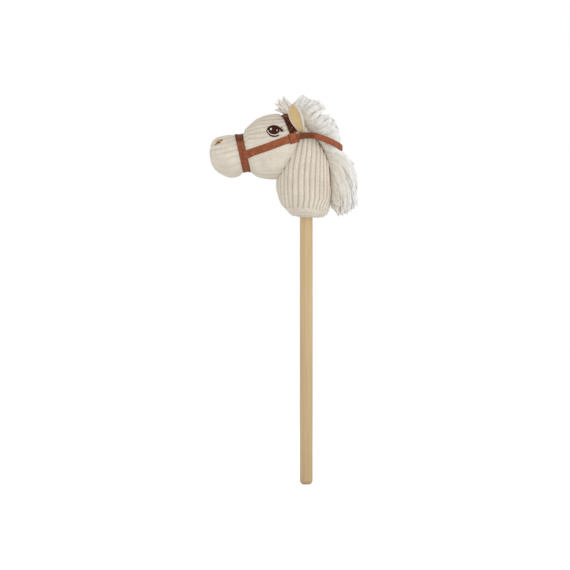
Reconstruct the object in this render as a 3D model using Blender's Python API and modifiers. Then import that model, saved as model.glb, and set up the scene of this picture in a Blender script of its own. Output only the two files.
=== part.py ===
"""Hobby horse: a stuffed corduroy horse's head with a leather bridle and a fur mane on a wooden stick.

Sizes are written in millimetres and turned to metres by the helpers.
+Z runs up the stick from the centre of its foot, the muzzle points to -X, and the horse's left side is at -Y.
"""

from math import cos, pi, radians, sin, sqrt

import bmesh
import bpy
from mathutils import Matrix, Vector
from mathutils.bvhtree import BVHTree

MM = 0.001

# Driving sizes
STICK_RADIUS = 12.5
STICK_LENGTH = 610.0
FOOT_FLAT_RADIUS = 5.0
FOOT_ROUND_HEIGHT = 8.0
DISC_RADIUS = 22.5
DISC_THICKNESS = 6.0
DISC_BORE_RADIUS = 2.4
SCREW_RADIUS = 1.9
SCREW_LENGTH = 34.6
SCREW_HEAD_RADIUS = 4.5
SCREW_HEAD_HEIGHT = 2.4
PILOT_RADIUS = 2.2
SLEEVE_GAP = 0.4
SLEEVE_THICKNESS = 1.2
SLEEVE_BOTTOM = 521.5
TIE_HEIGHT = 545.0
TIE_RADIUS = 1.5
SKIN = 2.8
SEAM_GAP = 0.3
STUFFING_GAP = 0.8
WALE_COUNT = 32
WALE_DEPTH = 1.6
STRAP_THICKNESS = 1.8
STRAP_GAP = 0.7
NOSEBAND_WIDTH = 13.0
CHEEK_STRAP_WIDTH = 14.0
BROWBAND_WIDTH = 15.5
REIN_WIDTH = 12.0
REIN_HALF_SPAN = 51.0
LOOP_THICKNESS = 1.2
LOOP_INNER_GAP = 2.0
LOOP_OUTER_GAP = 5.1
EAR_THICKNESS = 2.0
LINING_THICKNESS = 1.0
LINING_SCALE = 0.86
LINING_LIFT = 0.5
THREAD_HEIGHT = 1.0
LOW_THREAD_HEIGHT = 0.9
THREAD_GAP = 0.3
LID_WIDTH = 1.6
BASE_PANEL_TOP = 535.0
MANE_STAND_OFF = 2.8
BACKING_WIDTH = 20.0
BACKING_THICKNESS = 1.2

# Side-view sections of the head, from muzzle tip to the back of the skull:
# upper point x and z, lower point x and z, half width
HEAD_SECTIONS = (
    (-189.0, 647.0, -189.0, 647.0, 0.0),
    (-187.5, 657.0, -187.5, 635.5, 14.0),
    (-184.0, 667.5, -184.0, 621.5, 25.0),
    (-175.0, 676.0, -175.0, 610.0, 34.0),
    (-158.5, 680.5, -152.0, 598.0, 40.5),
    (-146.5, 681.5, -133.0, 599.5, 40.0),
    (-139.0, 681.5, -123.0, 608.0, 36.5),
    (-132.0, 682.5, -116.0, 610.5, 35.0),
    (-125.5, 685.5, -109.0, 609.5, 36.5),
    (-115.5, 696.5, -98.0, 600.5, 43.0),
    (-98.0, 711.5, -82.5, 595.5, 49.0),
    (-76.5, 720.5, -65.0, 594.0, 52.0),
    (-53.0, 723.0, -47.5, 598.0, 52.5),
    (-33.0, 722.0, -32.0, 613.0, 50.0),
    (-14.0, 714.5, -18.0, 634.5, 44.0),
    (-0.5, 700.5, -6.5, 654.0, 32.0),
    (5.5, 677.0, 5.5, 677.0, 0.0),
)
# The neck, from its underside up: rear point x and z, front point x and z, half width
NECK_SECTIONS = (
    (0.0, 519.0, 0.0, 519.0, 0.0),
    (17.0, 519.0, -15.0, 519.3, 20.0),
    (34.5, 521.5, -28.0, 523.0, 36.0),
    (43.5, 530.0, -37.5, 532.0, 44.0),
    (47.5, 546.5, -49.5, 546.5, 50.0),
    (51.0, 566.0, -56.5, 564.0, 52.5),
    (51.5, 589.5, -59.5, 582.0, 53.0),
    (49.5, 615.0, -57.5, 601.0, 52.5),
    (43.0, 640.0, -51.5, 622.5, 51.0),
    (31.0, 660.5, -41.5, 648.0, 48.0),
    (18.0, 679.0, -34.0, 675.5, 42.0),
    (5.5, 695.5, -26.0, 698.5, 29.0),
    (-8.5, 707.0, -8.5, 707.0, 0.0),
)
# The fur, in the same way: point nearest the body, outer point, half width
FORELOCK_SECTIONS = (
    (-22.0, 711.0, -22.0, 711.0, 0.0),
    (-30.0, 718.0, -17.0, 716.0, 15.0),
    (-33.5, 728.0, -22.0, 731.0, 17.0),
    (-43.0, 730.5, -29.5, 743.0, 16.0),
    (-53.0, 732.5, -41.0, 753.0, 12.0),
    (-60.0, 737.5, -52.0, 755.5, 7.0),
    (-61.8, 748.0, -61.8, 748.0, 0.0),
)
UPPER_MANE_SECTIONS = (
    (-19.0, 735.0, -19.0, 735.0, 0.0),
    (-11.5, 711.0, -18.5, 746.5, 14.0),
    (-9.0, 704.0, -7.0, 758.5, 25.0),
    (-3.0, 695.0, 21.0, 750.0, 31.0),
    (6.0, 684.0, 43.0, 724.0, 33.0),
    (14.0, 674.0, 56.5, 706.0, 33.0),
    (20.0, 667.0, 64.0, 685.0, 31.0),
    (23.5, 663.5, 66.5, 669.0, 28.0),
    (26.0, 659.0, 66.5, 661.0, 23.0),
    (47.0, 657.6, 47.0, 657.6, 0.0),
)
LOWER_MANE_SECTIONS = (
    (48.0, 656.0, 48.0, 656.0, 0.0),
    (27.0, 653.5, 65.5, 654.5, 21.0),
    (30.0, 645.5, 69.0, 646.0, 25.0),
    (37.0, 631.0, 84.0, 632.0, 30.5),
    (42.0, 614.0, 93.5, 616.0, 31.0),
    (44.0, 590.0, 97.5, 590.0, 31.0),
    (44.0, 564.0, 99.5, 562.0, 29.0),
    (45.0, 543.0, 98.5, 539.0, 24.0),
    (55.0, 531.0, 86.0, 527.0, 15.0),
    (73.0, 523.0, 73.0, 523.0, 0.0),
)
# The rein's middle line in side view, from its hinge at the strap loop to its rear end
REIN_LINE = (
    (-9.2, 677.2),
    (3.5, 678.4),
    (19.7, 677.0),
    (32.6, 672.6),
    (48.8, 666.4),
    (58.5, 662.0),
    (70.0, 655.5),
)

# Places in side view, x and z
NOSEBAND_CENTRE = (-124.0, 646.5)
NOSEBAND_LEAN = 12.5
BROWBAND_CENTRE = (-24.5, 678.0)
BROWBAND_LEAN = 21.5
BROWBAND_REACH = 83.0
CHEEK_LINE = ((-119.5, 639.0), (-98.0, 647.0), (-72.0, 656.5), (-45.0, 667.0), (-18.0, 676.0))
LOOP_CENTRE = (-24.5, 674.3)
EYE_CENTRE = (-63.8, 691.5)
EYE_SIZE = (22.0, 16.0)
EYE_LEAN = -4.0
LID_LINE = ((-76.3, 689.8), (-72.5, 683.0), (-68.8, 680.0), (-63.0, 679.2), (-56.5, 680.0), (-53.5, 682.3))
NOSTRIL_CENTRE = (-169.8, 668.9)
NOSTRIL_SIZE = (18.0, 7.0)
NOSTRIL_LEAN = 17.0
BACKING_CENTRE = (-20.0, 660.0)
BACKING_TOP_ANGLE = 98.0
BACKING_LOW_ANGLE = -58.0
# The left ear's middle line from its sewn base to its tip: x, y, z and half width
EAR_LINE = (
    (-9.5, -36.5, 680.5, 4.0),
    (-10.0, -44.0, 686.0, 5.5),
    (-11.3, -47.5, 692.5, 8.8),
    (-14.5, -48.3, 700.0, 11.8),
    (-17.0, -48.6, 708.5, 13.8),
    (-20.0, -49.2, 719.5, 14.3),
    (-23.0, -50.0, 730.0, 11.0),
    (-24.8, -50.6, 737.0, 6.0),
    (-25.9, -51.0, 742.0, 0.8),
)
EAR_OPENING = (-0.34, -0.94, 0.0)
EAR_CUP = radians(50)


# Helpers: scene, objects and materials
def clear_scene():
    for obj in list(bpy.data.objects):
        bpy.data.objects.remove(obj)


def add_collection(name):
    collection = bpy.data.collections.new(name)
    bpy.context.scene.collection.children.link(collection)
    return collection


def material(name, colour, roughness, metallic=0.0):
    made = bpy.data.materials.new(name)
    made.use_nodes = True
    shader = made.node_tree.nodes["Principled BSDF"]
    shader.inputs["Base Color"].default_value = (*colour, 1.0)
    shader.inputs["Roughness"].default_value = roughness
    shader.inputs["Metallic"].default_value = metallic
    made.diffuse_color = (*colour, 1.0)
    return made


def add_object(name, mesh, collection, finish=None, smooth=True):
    obj = bpy.data.objects.new(name, mesh)
    collection.objects.link(obj)
    if finish:
        mesh.materials.append(finish)
    if smooth:
        mesh.shade_smooth()
        mesh.set_sharp_from_angle(angle=radians(40))
    return obj


def hide_cutter(obj):
    obj.hide_render = True
    obj.display_type = "WIRE"
    return obj


def mesh_from(name, points, faces):
    mesh = bpy.data.meshes.new(name)
    mesh.from_pydata([Vector(p) * MM for p in points], [], faces)
    mesh.update()
    return mesh


def boolean(obj, cutter, operation="DIFFERENCE"):
    modifier = obj.modifiers.new(cutter.name, "BOOLEAN")
    modifier.operation = operation
    modifier.object = cutter
    modifier.solver = "EXACT"
    return obj


def solidify(obj, thickness, offset=1.0):
    modifier = obj.modifiers.new("Solidify", "SOLIDIFY")
    modifier.thickness = thickness * MM
    modifier.offset = offset
    return obj


# Helpers: smooth lines and lofts
def smooth_value(before, start, end, after, t):
    """Catmull-Rom value between start and end."""
    return 0.5 * (
        2 * start
        + (end - before) * t
        + (2 * before - 5 * start + 4 * end - after) * t * t
        + (3 * start - before - 3 * end + after) * t**3
    )


def smooth_rows(rows, steps):
    """Rows of numbers with steps - 1 smooth rows between each two."""
    made = []
    for i in range(len(rows) - 1):
        before = rows[max(i - 1, 0)]
        after = rows[min(i + 2, len(rows) - 1)]
        for step in range(steps):
            t = step / steps
            made.append([smooth_value(*values, t) for values in zip(before, rows[i], rows[i + 1], after)])
    made.append(list(rows[-1]))
    return made


def plain_angles(count):
    return [(2 * pi * i / count, 0.0) for i in range(count)]


def wale_angles():
    """Angles round the neck with the depth of the surface there: a groove, then a rounded rib."""
    rib = ((0.0, WALE_DEPTH), (0.2, 0.4 * WALE_DEPTH), (0.5, 0.0), (0.8, 0.4 * WALE_DEPTH))
    pitch = 2 * pi / WALE_COUNT
    return [((i + share) * pitch, depth) for i in range(WALE_COUNT) for share, depth in rib]


def section_point(row, angle, depth):
    """A point on a section; angle 0 is its first point and 90 degrees its left side."""
    first_x, first_z, last_x, last_z, half_width = row
    across = sqrt((first_x - last_x) ** 2 + (first_z - last_z) ** 2) / 2
    shrink = 1 - depth / max(across, depth + 1.0)
    along = cos(angle) * shrink
    x = (first_x + last_x) / 2 + (first_x - last_x) / 2 * along
    z = (first_z + last_z) / 2 + (first_z - last_z) / 2 * along
    return (x, -half_width * sin(angle) * shrink, z)


def loft(name, sections, angles, steps):
    """A closed form through unlike sections; the first and last are single points."""
    rows = smooth_rows(sections, steps)
    count = len(angles)
    points = [section_point(rows[0], 0.0, 0.0)]
    for row in rows[1:-1]:
        points += [section_point(row, angle, depth) for angle, depth in angles]
    points.append(section_point(rows[-1], 0.0, 0.0))
    end = len(points) - 1
    faces = []
    for i in range(count):
        j = (i + 1) % count
        faces.append((0, 1 + i, 1 + j))
        faces.append((end, end - count + j, end - count + i))
        for ring in range(len(rows) - 3):
            low = 1 + ring * count
            faces.append((low + j, low + i, low + count + i, low + count + j))
    mesh = mesh_from(name, points, faces)
    outward(mesh)
    return mesh


def outward(mesh):
    """Turns the faces of a closed mesh outwards."""
    body = bmesh.new()
    body.from_mesh(mesh)
    bmesh.ops.recalc_face_normals(body, faces=body.faces)
    body.to_mesh(mesh)
    body.free()


def offset_mesh(mesh, name, distance):
    """A copy of a mesh with each point moved along its normal."""
    body = bmesh.new()
    body.from_mesh(mesh)
    body.normal_update()
    moves = [vertex.normal * distance * MM for vertex in body.verts]
    for vertex, move in zip(body.verts, moves):
        vertex.co += move
    made = bpy.data.meshes.new(name)
    body.to_mesh(made)
    body.free()
    return made


def mirrored(obj, name, collection):
    """The same piece for the horse's right side, with its mesh mirrored across the middle plane."""
    graph = bpy.context.evaluated_depsgraph_get()
    mesh = bpy.data.meshes.new_from_object(obj.evaluated_get(graph))
    mesh.name = name
    mesh.transform(Matrix.Scale(-1, 4, (0, 1, 0)))
    mesh.flip_normals()
    made = bpy.data.objects.new(name, mesh)
    collection.objects.link(made)
    return made


def tree_of(mesh):
    return BVHTree.FromPolygons([v.co for v in mesh.vertices], [tuple(p.vertices) for p in mesh.polygons])


def surface_hit(trees, origin, direction):
    """The outermost hit of a ray from inside the body, with its outward normal, in millimetres."""
    hits = []
    for tree in trees:
        place, normal, _, distance = tree.ray_cast(Vector(origin) * MM, Vector(direction))
        if place is not None:
            hits.append((distance, place, normal))
    _, place, normal = max(hits, key=lambda hit: hit[0])
    if normal.dot(Vector(direction)) < 0:
        normal = -normal
    return place / MM, normal


def sheet(name, rows, closed, hint):
    """An open sheet through rows of points, its faces turned to the side that hint points to."""
    across = len(rows[0])
    count = len(rows)
    points = [point for row in rows for point in row]
    faces = []
    for i in range(count if closed else count - 1):
        j = (i + 1) % count
        for k in range(across - 1):
            faces.append((i * across + k, i * across + k + 1, j * across + k + 1, j * across + k))
    mesh = mesh_from(name, points, faces)
    if mesh.polygons[0].normal.dot(Vector(hint)) < 0:
        mesh.flip_normals()
    return mesh


# Helpers: pieces that lie on the stuffed body
def belt(name, trees, centre, first, second, across, width, angles, gap, closed):
    """A band round the body: rays fan out from the centre in the plane of first and second."""
    centre = Vector(centre)
    first = Vector(first)
    second = Vector(second)
    across = Vector(across)
    rows = []
    for angle in angles:
        direction = first * cos(angle) + second * sin(angle)
        row = []
        for share in (-0.5, 0.0, 0.5):
            place, normal = surface_hit(trees, centre + across * width * share, direction)
            row.append(place + normal * gap)
        rows.append(row)
    hint = first * cos(angles[0]) + second * sin(angles[0])
    return sheet(name, rows, closed, hint)


def side_point(trees, x, z, gap):
    """The point of the horse's left side at x and z, a gap outside the surface."""
    place, normal = surface_hit(trees, (x, 0.0, z), (0, -1, 0))
    return place + normal * gap


def side_strap(name, trees, line, width, gaps, steps, cross_shares=(-0.5, 0.0, 0.5)):
    """A strap along a line on the left side; gaps gives its height over the surface at each share of its length."""
    points = smooth_rows(line, steps)
    rows = []
    for i, (x, z) in enumerate(points):
        ahead = points[min(i + 1, len(points) - 1)]
        behind = points[max(i - 1, 0)]
        run = Vector((ahead[0] - behind[0], ahead[1] - behind[1])).normalized()
        gap = gaps(i / (len(points) - 1))
        row = []
        for share in cross_shares:
            step = width * share
            row.append(side_point(trees, x - run.y * step, z + run.x * step, gap))
        rows.append(row)
    return sheet(name, rows, False, (0, -1, 0))


def side_patch(name, trees, centre, size, lean, count, gap, pinch):
    """A leaf-shaped patch on the left side: an ellipse drawn in at its ends by pinch."""
    turn = radians(lean)
    points = [side_point(trees, *centre, gap)]
    for reach in (0.5, 1.0):
        for i in range(count):
            angle = 2 * pi * i / count
            long = cos(angle) * size[0] / 2 * reach
            short = sin(angle) * abs(sin(angle)) ** pinch * size[1] / 2 * reach
            x = centre[0] + long * cos(turn) - short * sin(turn)
            z = centre[1] + long * sin(turn) + short * cos(turn)
            points.append(side_point(trees, x, z, gap))
    faces = []
    for i in range(count):
        inner = 1 + i
        beside = 1 + (i + 1) % count
        faces.append((0, inner, beside))
        faces.append((inner, inner + count, beside + count, beside))
    mesh = mesh_from(name, points, faces)
    if mesh.polygons[0].normal.y > 0:
        mesh.flip_normals()
    return mesh


# The stick and what fastens the head to it
def turned(name, profile, steps, collection, finish=None):
    """A turned piece about the stick's axis. The profile holds radius and height, from top to bottom."""
    mesh = bpy.data.meshes.new(name)
    edges = [(i, i + 1) for i in range(len(profile) - 1)]
    if profile[0][0] > 0:
        edges.append((len(profile) - 1, 0))
    mesh.from_pydata([(radius * MM, 0, height * MM) for radius, height in profile], edges, [])
    obj = add_object(name, mesh, collection, finish, smooth=False)
    screw = obj.modifiers.new("Screw", "SCREW")
    screw.steps = screw.render_steps = steps
    screw.use_merge_vertices = True
    screw.merge_threshold = 0.00001
    screw.use_smooth_shade = True
    return obj


def foot_profile():
    """The stick's rounded foot, from its full radius down to the small flat."""
    drop = STICK_RADIUS - FOOT_FLAT_RADIUS
    points = []
    for i in range(5):
        angle = pi / 2 * i / 4
        points.append((FOOT_FLAT_RADIUS + drop * cos(angle), FOOT_ROUND_HEIGHT * (1 - sin(angle))))
    return points


def screw_tip():
    """The height of the anchor screw's tip inside the stick."""
    return STICK_LENGTH + DISC_THICKNESS + 2 * SEAM_GAP - SCREW_LENGTH


def add_stick(collection, cutters, finish):
    top = STICK_LENGTH
    profile = [(0, top), (STICK_RADIUS - 1, top), (STICK_RADIUS, top - 1), *foot_profile(), (0, 0)]
    stick = turned("stick", profile, 32, collection, finish)
    deep = screw_tip() - 1.0
    pilot_profile = [(0, top + 5), (PILOT_RADIUS, top + 5), (PILOT_RADIUS, deep), (0, deep)]
    pilot = turned("screw_pilot", pilot_profile, 12, cutters)
    return boolean(stick, hide_cutter(pilot))


def add_anchor(collection, materials):
    """The plywood disc and its screw on the stick's top, which the stuffing is packed round."""
    low = STICK_LENGTH + SEAM_GAP
    high = low + DISC_THICKNESS
    rim = DISC_RADIUS
    bore = DISC_BORE_RADIUS
    disc = [(bore, high), (rim - 1, high), (rim, high - 1), (rim, low + 1), (rim - 1, low), (bore, low)]
    turned("anchor_disc", disc, 24, collection, materials["plywood"])
    head = high + SEAM_GAP
    screw = [
        (0, head + SCREW_HEAD_HEIGHT),
        (SCREW_HEAD_RADIUS - 2, head + SCREW_HEAD_HEIGHT),
        (SCREW_HEAD_RADIUS, head),
        (SCREW_RADIUS, head),
        (SCREW_RADIUS, screw_tip() + 3),
        (0, screw_tip()),
    ]
    turned("anchor_screw", screw, 12, collection, materials["steel"])


def add_sleeve(collection, materials):
    """The cotton sleeve that keeps the stuffing off the stick, and the cord that ties it."""
    inner = STICK_RADIUS + SLEEVE_GAP
    outer = inner + SLEEVE_THICKNESS
    top = STICK_LENGTH - 4.0
    sleeve = [(inner, top), (outer, top), (outer, SLEEVE_BOTTOM), (inner, SLEEVE_BOTTOM)]
    turned("stick_sleeve", sleeve, 28, collection, materials["cotton"])
    bpy.ops.mesh.primitive_torus_add(
        major_segments=24,
        minor_segments=6,
        major_radius=(outer + SEAM_GAP + TIE_RADIUS) * MM,
        minor_radius=TIE_RADIUS * MM,
        location=(0, 0, TIE_HEIGHT * MM),
    )
    tie = bpy.context.object
    tie.name = "sleeve_tie"
    bpy.context.collection.objects.unlink(tie)
    collection.objects.link(tie)
    tie.data.materials.append(materials["cord"])
    tie.data.shade_smooth()


def stuffing_bore(cutters):
    """The space inside the neck's stuffing for the stick, its sleeve and tie, the disc and the screw."""
    disc_top = STICK_LENGTH + DISC_THICKNESS + 2 * SEAM_GAP
    head_radius = SCREW_HEAD_RADIUS + 1.5
    rim = DISC_RADIUS + STUFFING_GAP
    sleeve = STICK_RADIUS + SLEEVE_GAP + SLEEVE_THICKNESS + 0.5
    tie = STICK_RADIUS + SLEEVE_GAP + SLEEVE_THICKNESS + SEAM_GAP + 2 * TIE_RADIUS + STUFFING_GAP
    below = SLEEVE_BOTTOM - 16.5
    profile = [
        (0, disc_top + SCREW_HEAD_HEIGHT + 1.0),
        (head_radius, disc_top + SCREW_HEAD_HEIGHT + 1.0),
        (head_radius, disc_top + 0.4),
        (rim, disc_top + 0.4),
        (rim, STICK_LENGTH - 0.6),
        (sleeve, STICK_LENGTH - 0.6),
        (sleeve, TIE_HEIGHT + 4.0),
        (tie, TIE_HEIGHT + 2.0),
        (tie, TIE_HEIGHT - 2.0),
        (sleeve, TIE_HEIGHT - 4.0),
        (sleeve, below),
        (0, below),
    ]
    return hide_cutter(turned("stuffing_bore", profile, 28, cutters))


# The stuffed body: skin panels over stuffing
def box_cutter(name, low, high, cutters, turn=0.0):
    """A box between two corners, turned about the Y axis through its own middle."""
    middle = [(a + b) / 2 for a, b in zip(low, high)]
    bpy.ops.mesh.primitive_cube_add(size=1, location=[value * MM for value in middle])
    obj = bpy.context.object
    obj.name = name
    obj.scale = [(b - a) * MM for a, b in zip(low, high)]
    obj.rotation_euler = (0, turn, 0)
    bpy.context.collection.objects.unlink(obj)
    cutters.objects.link(obj)
    return hide_cutter(obj)


def add_body_cutters(cutters):
    """The forms that the skins and stuffings are cut by."""
    head = loft("head_form", HEAD_SECTIONS, plain_angles(24), 2)
    neck = loft("neck_form", NECK_SECTIONS, plain_angles(32), 2)
    head_plain = loft("head_plain", HEAD_SECTIONS, plain_angles(20), 1)
    neck_plain = loft("neck_plain", NECK_SECTIONS, plain_angles(20), 1)
    forms = {
        "head_clear": offset_mesh(head, "head_clear", SEAM_GAP),
        "neck_clear": offset_mesh(neck, "neck_clear", SEAM_GAP),
        "head_hollow": offset_mesh(head_plain, "head_hollow", -SKIN),
        "neck_hollow": offset_mesh(neck_plain, "neck_hollow", -SKIN),
        "head_fill_clear": offset_mesh(head_plain, "head_fill_clear", -SKIN),
        "head_mane_clear": offset_mesh(head, "head_mane_clear", MANE_STAND_OFF),
        "neck_mane_clear": offset_mesh(neck, "neck_mane_clear", MANE_STAND_OFF),
    }
    made = {key: hide_cutter(add_object(key, mesh, cutters)) for key, mesh in forms.items()}
    half = SEAM_GAP / 2
    made["right_half"] = box_cutter("right_half", (-250, -half, 480), (150, 120, 800), cutters)
    made["below_panels"] = box_cutter("below_panels", (-150, -120, 480), (150, 120, BASE_PANEL_TOP), cutters)
    made["above_base"] = box_cutter(
        "above_base", (-150, -120, BASE_PANEL_TOP - SEAM_GAP), (150, 120, 800), cutters
    )
    hole_radius = STICK_RADIUS + SLEEVE_GAP + SLEEVE_THICKNESS + 0.6
    hole = [(0, 560), (hole_radius, 560), (hole_radius, 500), (0, 500)]
    made["stick_hole"] = hide_cutter(turned("stick_hole", hole, 28, cutters))
    return made, head, neck


def add_skin(collection, cutters, finish):
    """The corduroy panels, left and right, and the panel under the neck."""
    face_mesh = loft("face_panel_left", HEAD_SECTIONS, plain_angles(24), 2)
    face = add_object("face_panel_left", face_mesh, collection, finish)
    for key in ("head_hollow", "neck_clear", "right_half"):
        boolean(face, cutters[key])
    neck_mesh = loft("neck_panel_left", NECK_SECTIONS, wale_angles(), 1)
    neck = add_object("neck_panel_left", neck_mesh, collection, finish)
    for key in ("neck_hollow", "head_clear", "below_panels", "right_half"):
        boolean(neck, cutters[key])
    base_mesh = loft("neck_base_panel", NECK_SECTIONS, plain_angles(32), 2)
    base = add_object("neck_base_panel", base_mesh, collection, finish)
    for key in ("neck_hollow", "above_base", "stick_hole"):
        boolean(base, cutters[key])
    mirrored(face, "face_panel_right", collection)
    mirrored(neck, "neck_panel_right", collection)


def add_stuffing(collection, cutter_collection, cutters, finish):
    """The fibre filling of the muzzle, the head and the neck."""
    inset = -(SKIN + STUFFING_GAP)
    lean = radians(NOSEBAND_LEAN)
    waist_x, waist_z = NOSEBAND_CENTRE
    reach = 150.0
    boxes = []
    for name, way in (("behind_muzzle", 1), ("ahead_of_head", -1)):
        shift = way * (reach - SEAM_GAP / 2)
        x = waist_x + shift * cos(lean)
        z = waist_z + shift * sin(lean)
        low = (x - reach, -80, z - 120)
        high = (x + reach, 80, z + 120)
        boxes.append(box_cutter(name, low, high, cutter_collection, -lean))
    behind, ahead = boxes
    head_mesh = offset_mesh(loft("head_fill", HEAD_SECTIONS, plain_angles(20), 1), "head_stuffing", inset)
    head = add_object("head_stuffing", head_mesh, collection, finish)
    boolean(head, ahead)
    muzzle = add_object("muzzle_stuffing", head_mesh.copy(), collection, finish)
    muzzle.data.name = "muzzle_stuffing"
    boolean(muzzle, behind)
    neck_mesh = offset_mesh(loft("neck_fill", NECK_SECTIONS, plain_angles(20), 1), "neck_stuffing", inset)
    neck = add_object("neck_stuffing", neck_mesh, collection, finish)
    boolean(neck, cutters["head_fill_clear"])
    boolean(neck, stuffing_bore(cutter_collection))


# The bridle
def add_bridle(collection, trees, finish):
    lean = radians(NOSEBAND_LEAN)
    up = (-sin(lean), 0, cos(lean))
    along = (cos(lean), 0, sin(lean))
    centre = (NOSEBAND_CENTRE[0], 0, NOSEBAND_CENTRE[1])
    ring = [2 * pi * i / 40 for i in range(40)]
    mesh = belt("noseband", trees, centre, up, (0, -1, 0), along, NOSEBAND_WIDTH, ring, STRAP_GAP, True)
    solidify(add_object("noseband", mesh, collection, finish), STRAP_THICKNESS)

    lean = radians(BROWBAND_LEAN)
    up = (-sin(lean), 0, cos(lean))
    along = (cos(lean), 0, sin(lean))
    centre = (BROWBAND_CENTRE[0], 0, BROWBAND_CENTRE[1])
    arc = [radians(BROWBAND_REACH) * (i / 14 - 1) for i in range(29)]
    mesh = belt("browband", trees, centre, up, (0, -1, 0), along, BROWBAND_WIDTH, arc, STRAP_GAP, False)
    solidify(add_object("browband", mesh, collection, finish), STRAP_THICKNESS)

    mesh = side_strap("cheek_strap_left", trees, CHEEK_LINE, CHEEK_STRAP_WIDTH, cheek_gap, 4)
    cheek = solidify(add_object("cheek_strap_left", mesh, collection, finish), STRAP_THICKNESS)
    mirrored(cheek, "cheek_strap_right", collection)

    loop = add_strap_loop(collection, trees, finish)
    mirrored(loop, "strap_loop_right", collection)


def cheek_gap(share):
    """The cheek strap lies over the noseband at its front and over the loop's inner leg at its rear."""
    over_noseband = min(3.6 * max(0.0, 1 - share / 0.24), 2.9)
    inside_loop = min(3.4 * max(0.0, 1 - (1 - share) / 0.36), 2.1)
    return 0.8 + over_noseband + inside_loop


def add_strap_loop(collection, trees, finish):
    """The browband's end, folded round the cheek strap: a flat ring of thin strap that follows the cheek."""
    run = Vector((CHEEK_LINE[-1][0] - CHEEK_LINE[-2][0], CHEEK_LINE[-1][1] - CHEEK_LINE[-2][1])).normalized()
    half = CHEEK_STRAP_WIDTH / 2 + 0.7
    outer_leg = [(half * share, LOOP_OUTER_GAP) for share in (-1.0, -0.4, 0.4, 1.0)]
    inner_leg = [(half * share, LOOP_INNER_GAP) for share in (1.0, 0.4, -0.4, -1.0)]
    rows = []
    for high, gap in outer_leg + inner_leg:
        row = []
        for share in (-0.5, 0.0, 0.5):
            step = BROWBAND_WIDTH * share
            x = LOOP_CENTRE[0] + run.x * step - run.y * high
            z = LOOP_CENTRE[1] + run.y * step + run.x * high
            row.append(side_point(trees, x, z, gap))
        rows.append(row)
    mesh = sheet("strap_loop_left", rows, True, (0, -1, 0))
    loop = add_object("strap_loop_left", mesh, collection, finish)
    solid = solidify(loop, LOOP_THICKNESS)
    solid.modifiers["Solidify"].use_even_offset = True
    return solid


def rein_height(x):
    """The height of the rein's middle line at x."""
    line = smooth_rows(REIN_LINE, 6)
    for (x0, z0), (x1, z1) in zip(line, line[1:]):
        if x <= x1:
            return z0 + (z1 - z0) * (x - x0) / (x1 - x0)
    return line[-1][1]


def add_rein(collection, finish):
    """The rein: a strap in a half ellipse behind the mane, with round ends on its hinge line."""
    hinge_x, hinge_z = REIN_LINE[0]
    depth = REIN_LINE[-1][0] - hinge_x
    arc_steps = 30
    line = []
    for i in range(arc_steps + 1):
        angle = pi * i / arc_steps
        x = hinge_x + depth * sin(angle)
        line.append(Vector((x, -REIN_HALF_SPAN * cos(angle), rein_height(x))))
    half = REIN_WIDTH / 2
    rows = []
    for i, place in enumerate(line):
        run = (line[min(i + 1, arc_steps)] - line[max(i - 1, 0)]).normalized()
        out = Vector((run.y, -run.x, 0)).normalized()
        rise = out.cross(run).normalized()
        rise = rise if rise.z > 0 else -rise
        rows.append([place + rise * half * share for share in (-1.0, 0.0, 1.0)])
    for first, end in ((True, line[0]), (False, line[-1])):
        caps = []
        for angle in (30, 60, 80):
            back = -half * sin(radians(angle))
            high = half * cos(radians(angle))
            caps.append([end + Vector((back, 0, high * share)) for share in (-1.0, 0.0, 1.0)])
        rows = caps[::-1] + rows if first else rows + caps
    moved = [[point - Vector((hinge_x, 0, hinge_z)) for point in row] for row in rows]
    mesh = sheet("rein", moved, False, (0, -1, 0))
    rein = add_object("rein", mesh, collection, finish)
    rein.location = (hinge_x * MM, 0, hinge_z * MM)
    return solidify(rein, STRAP_THICKNESS, 0.0)


# Ears, eyes and nostrils
def ear_sheet(name, scale, lift, span, across, steps):
    """A cupped leaf from the ear's base to its tip. span gives the shares of the cup that its edges reach."""
    opening = Vector(EAR_OPENING)
    side = Vector((-opening.y, opening.x, 0.0))
    line = smooth_rows(EAR_LINE, steps)
    first = round((1 - scale) / 2 * len(line))
    rows = []
    for x, y, z, half in line[first : len(line) - first]:
        half = max(half * scale, 0.8)
        radius = half / sin(EAR_CUP)
        row = []
        for k in range(across + 1):
            angle = EAR_CUP * (span[0] + (span[1] - span[0]) * k / across)
            depth = radius * (1 - cos(angle)) + lift
            row.append(Vector((x, y, z)) + side * radius * sin(angle) + opening * depth)
        rows.append(row)
    return sheet(name, rows, False, opening)


def add_ears(collection, cutters, materials):
    """Each ear is a cupped corduroy leaf with a felt lining, narrower at the rear so that a rim shows."""
    back_mesh = ear_sheet("ear_left", 1.0, 0.0, (-1.0, 1.0), 6, 2)
    back = add_object("ear_left", back_mesh, collection, materials["corduroy"])
    solidify(back, EAR_THICKNESS, -1.0)
    lining_mesh = ear_sheet("ear_lining_left", LINING_SCALE, LINING_LIFT, (-1.0, 0.75), 5, 2)
    lining = add_object("ear_lining_left", lining_mesh, collection, materials["lining"])
    solidify(lining, LINING_THICKNESS, 1.0)
    for piece in (back, lining):
        boolean(piece, cutters["head_clear"])
        boolean(piece, cutters["neck_clear"])
    mirrored(back, "ear_right", collection)
    mirrored(lining, "ear_lining_right", collection)


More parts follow.
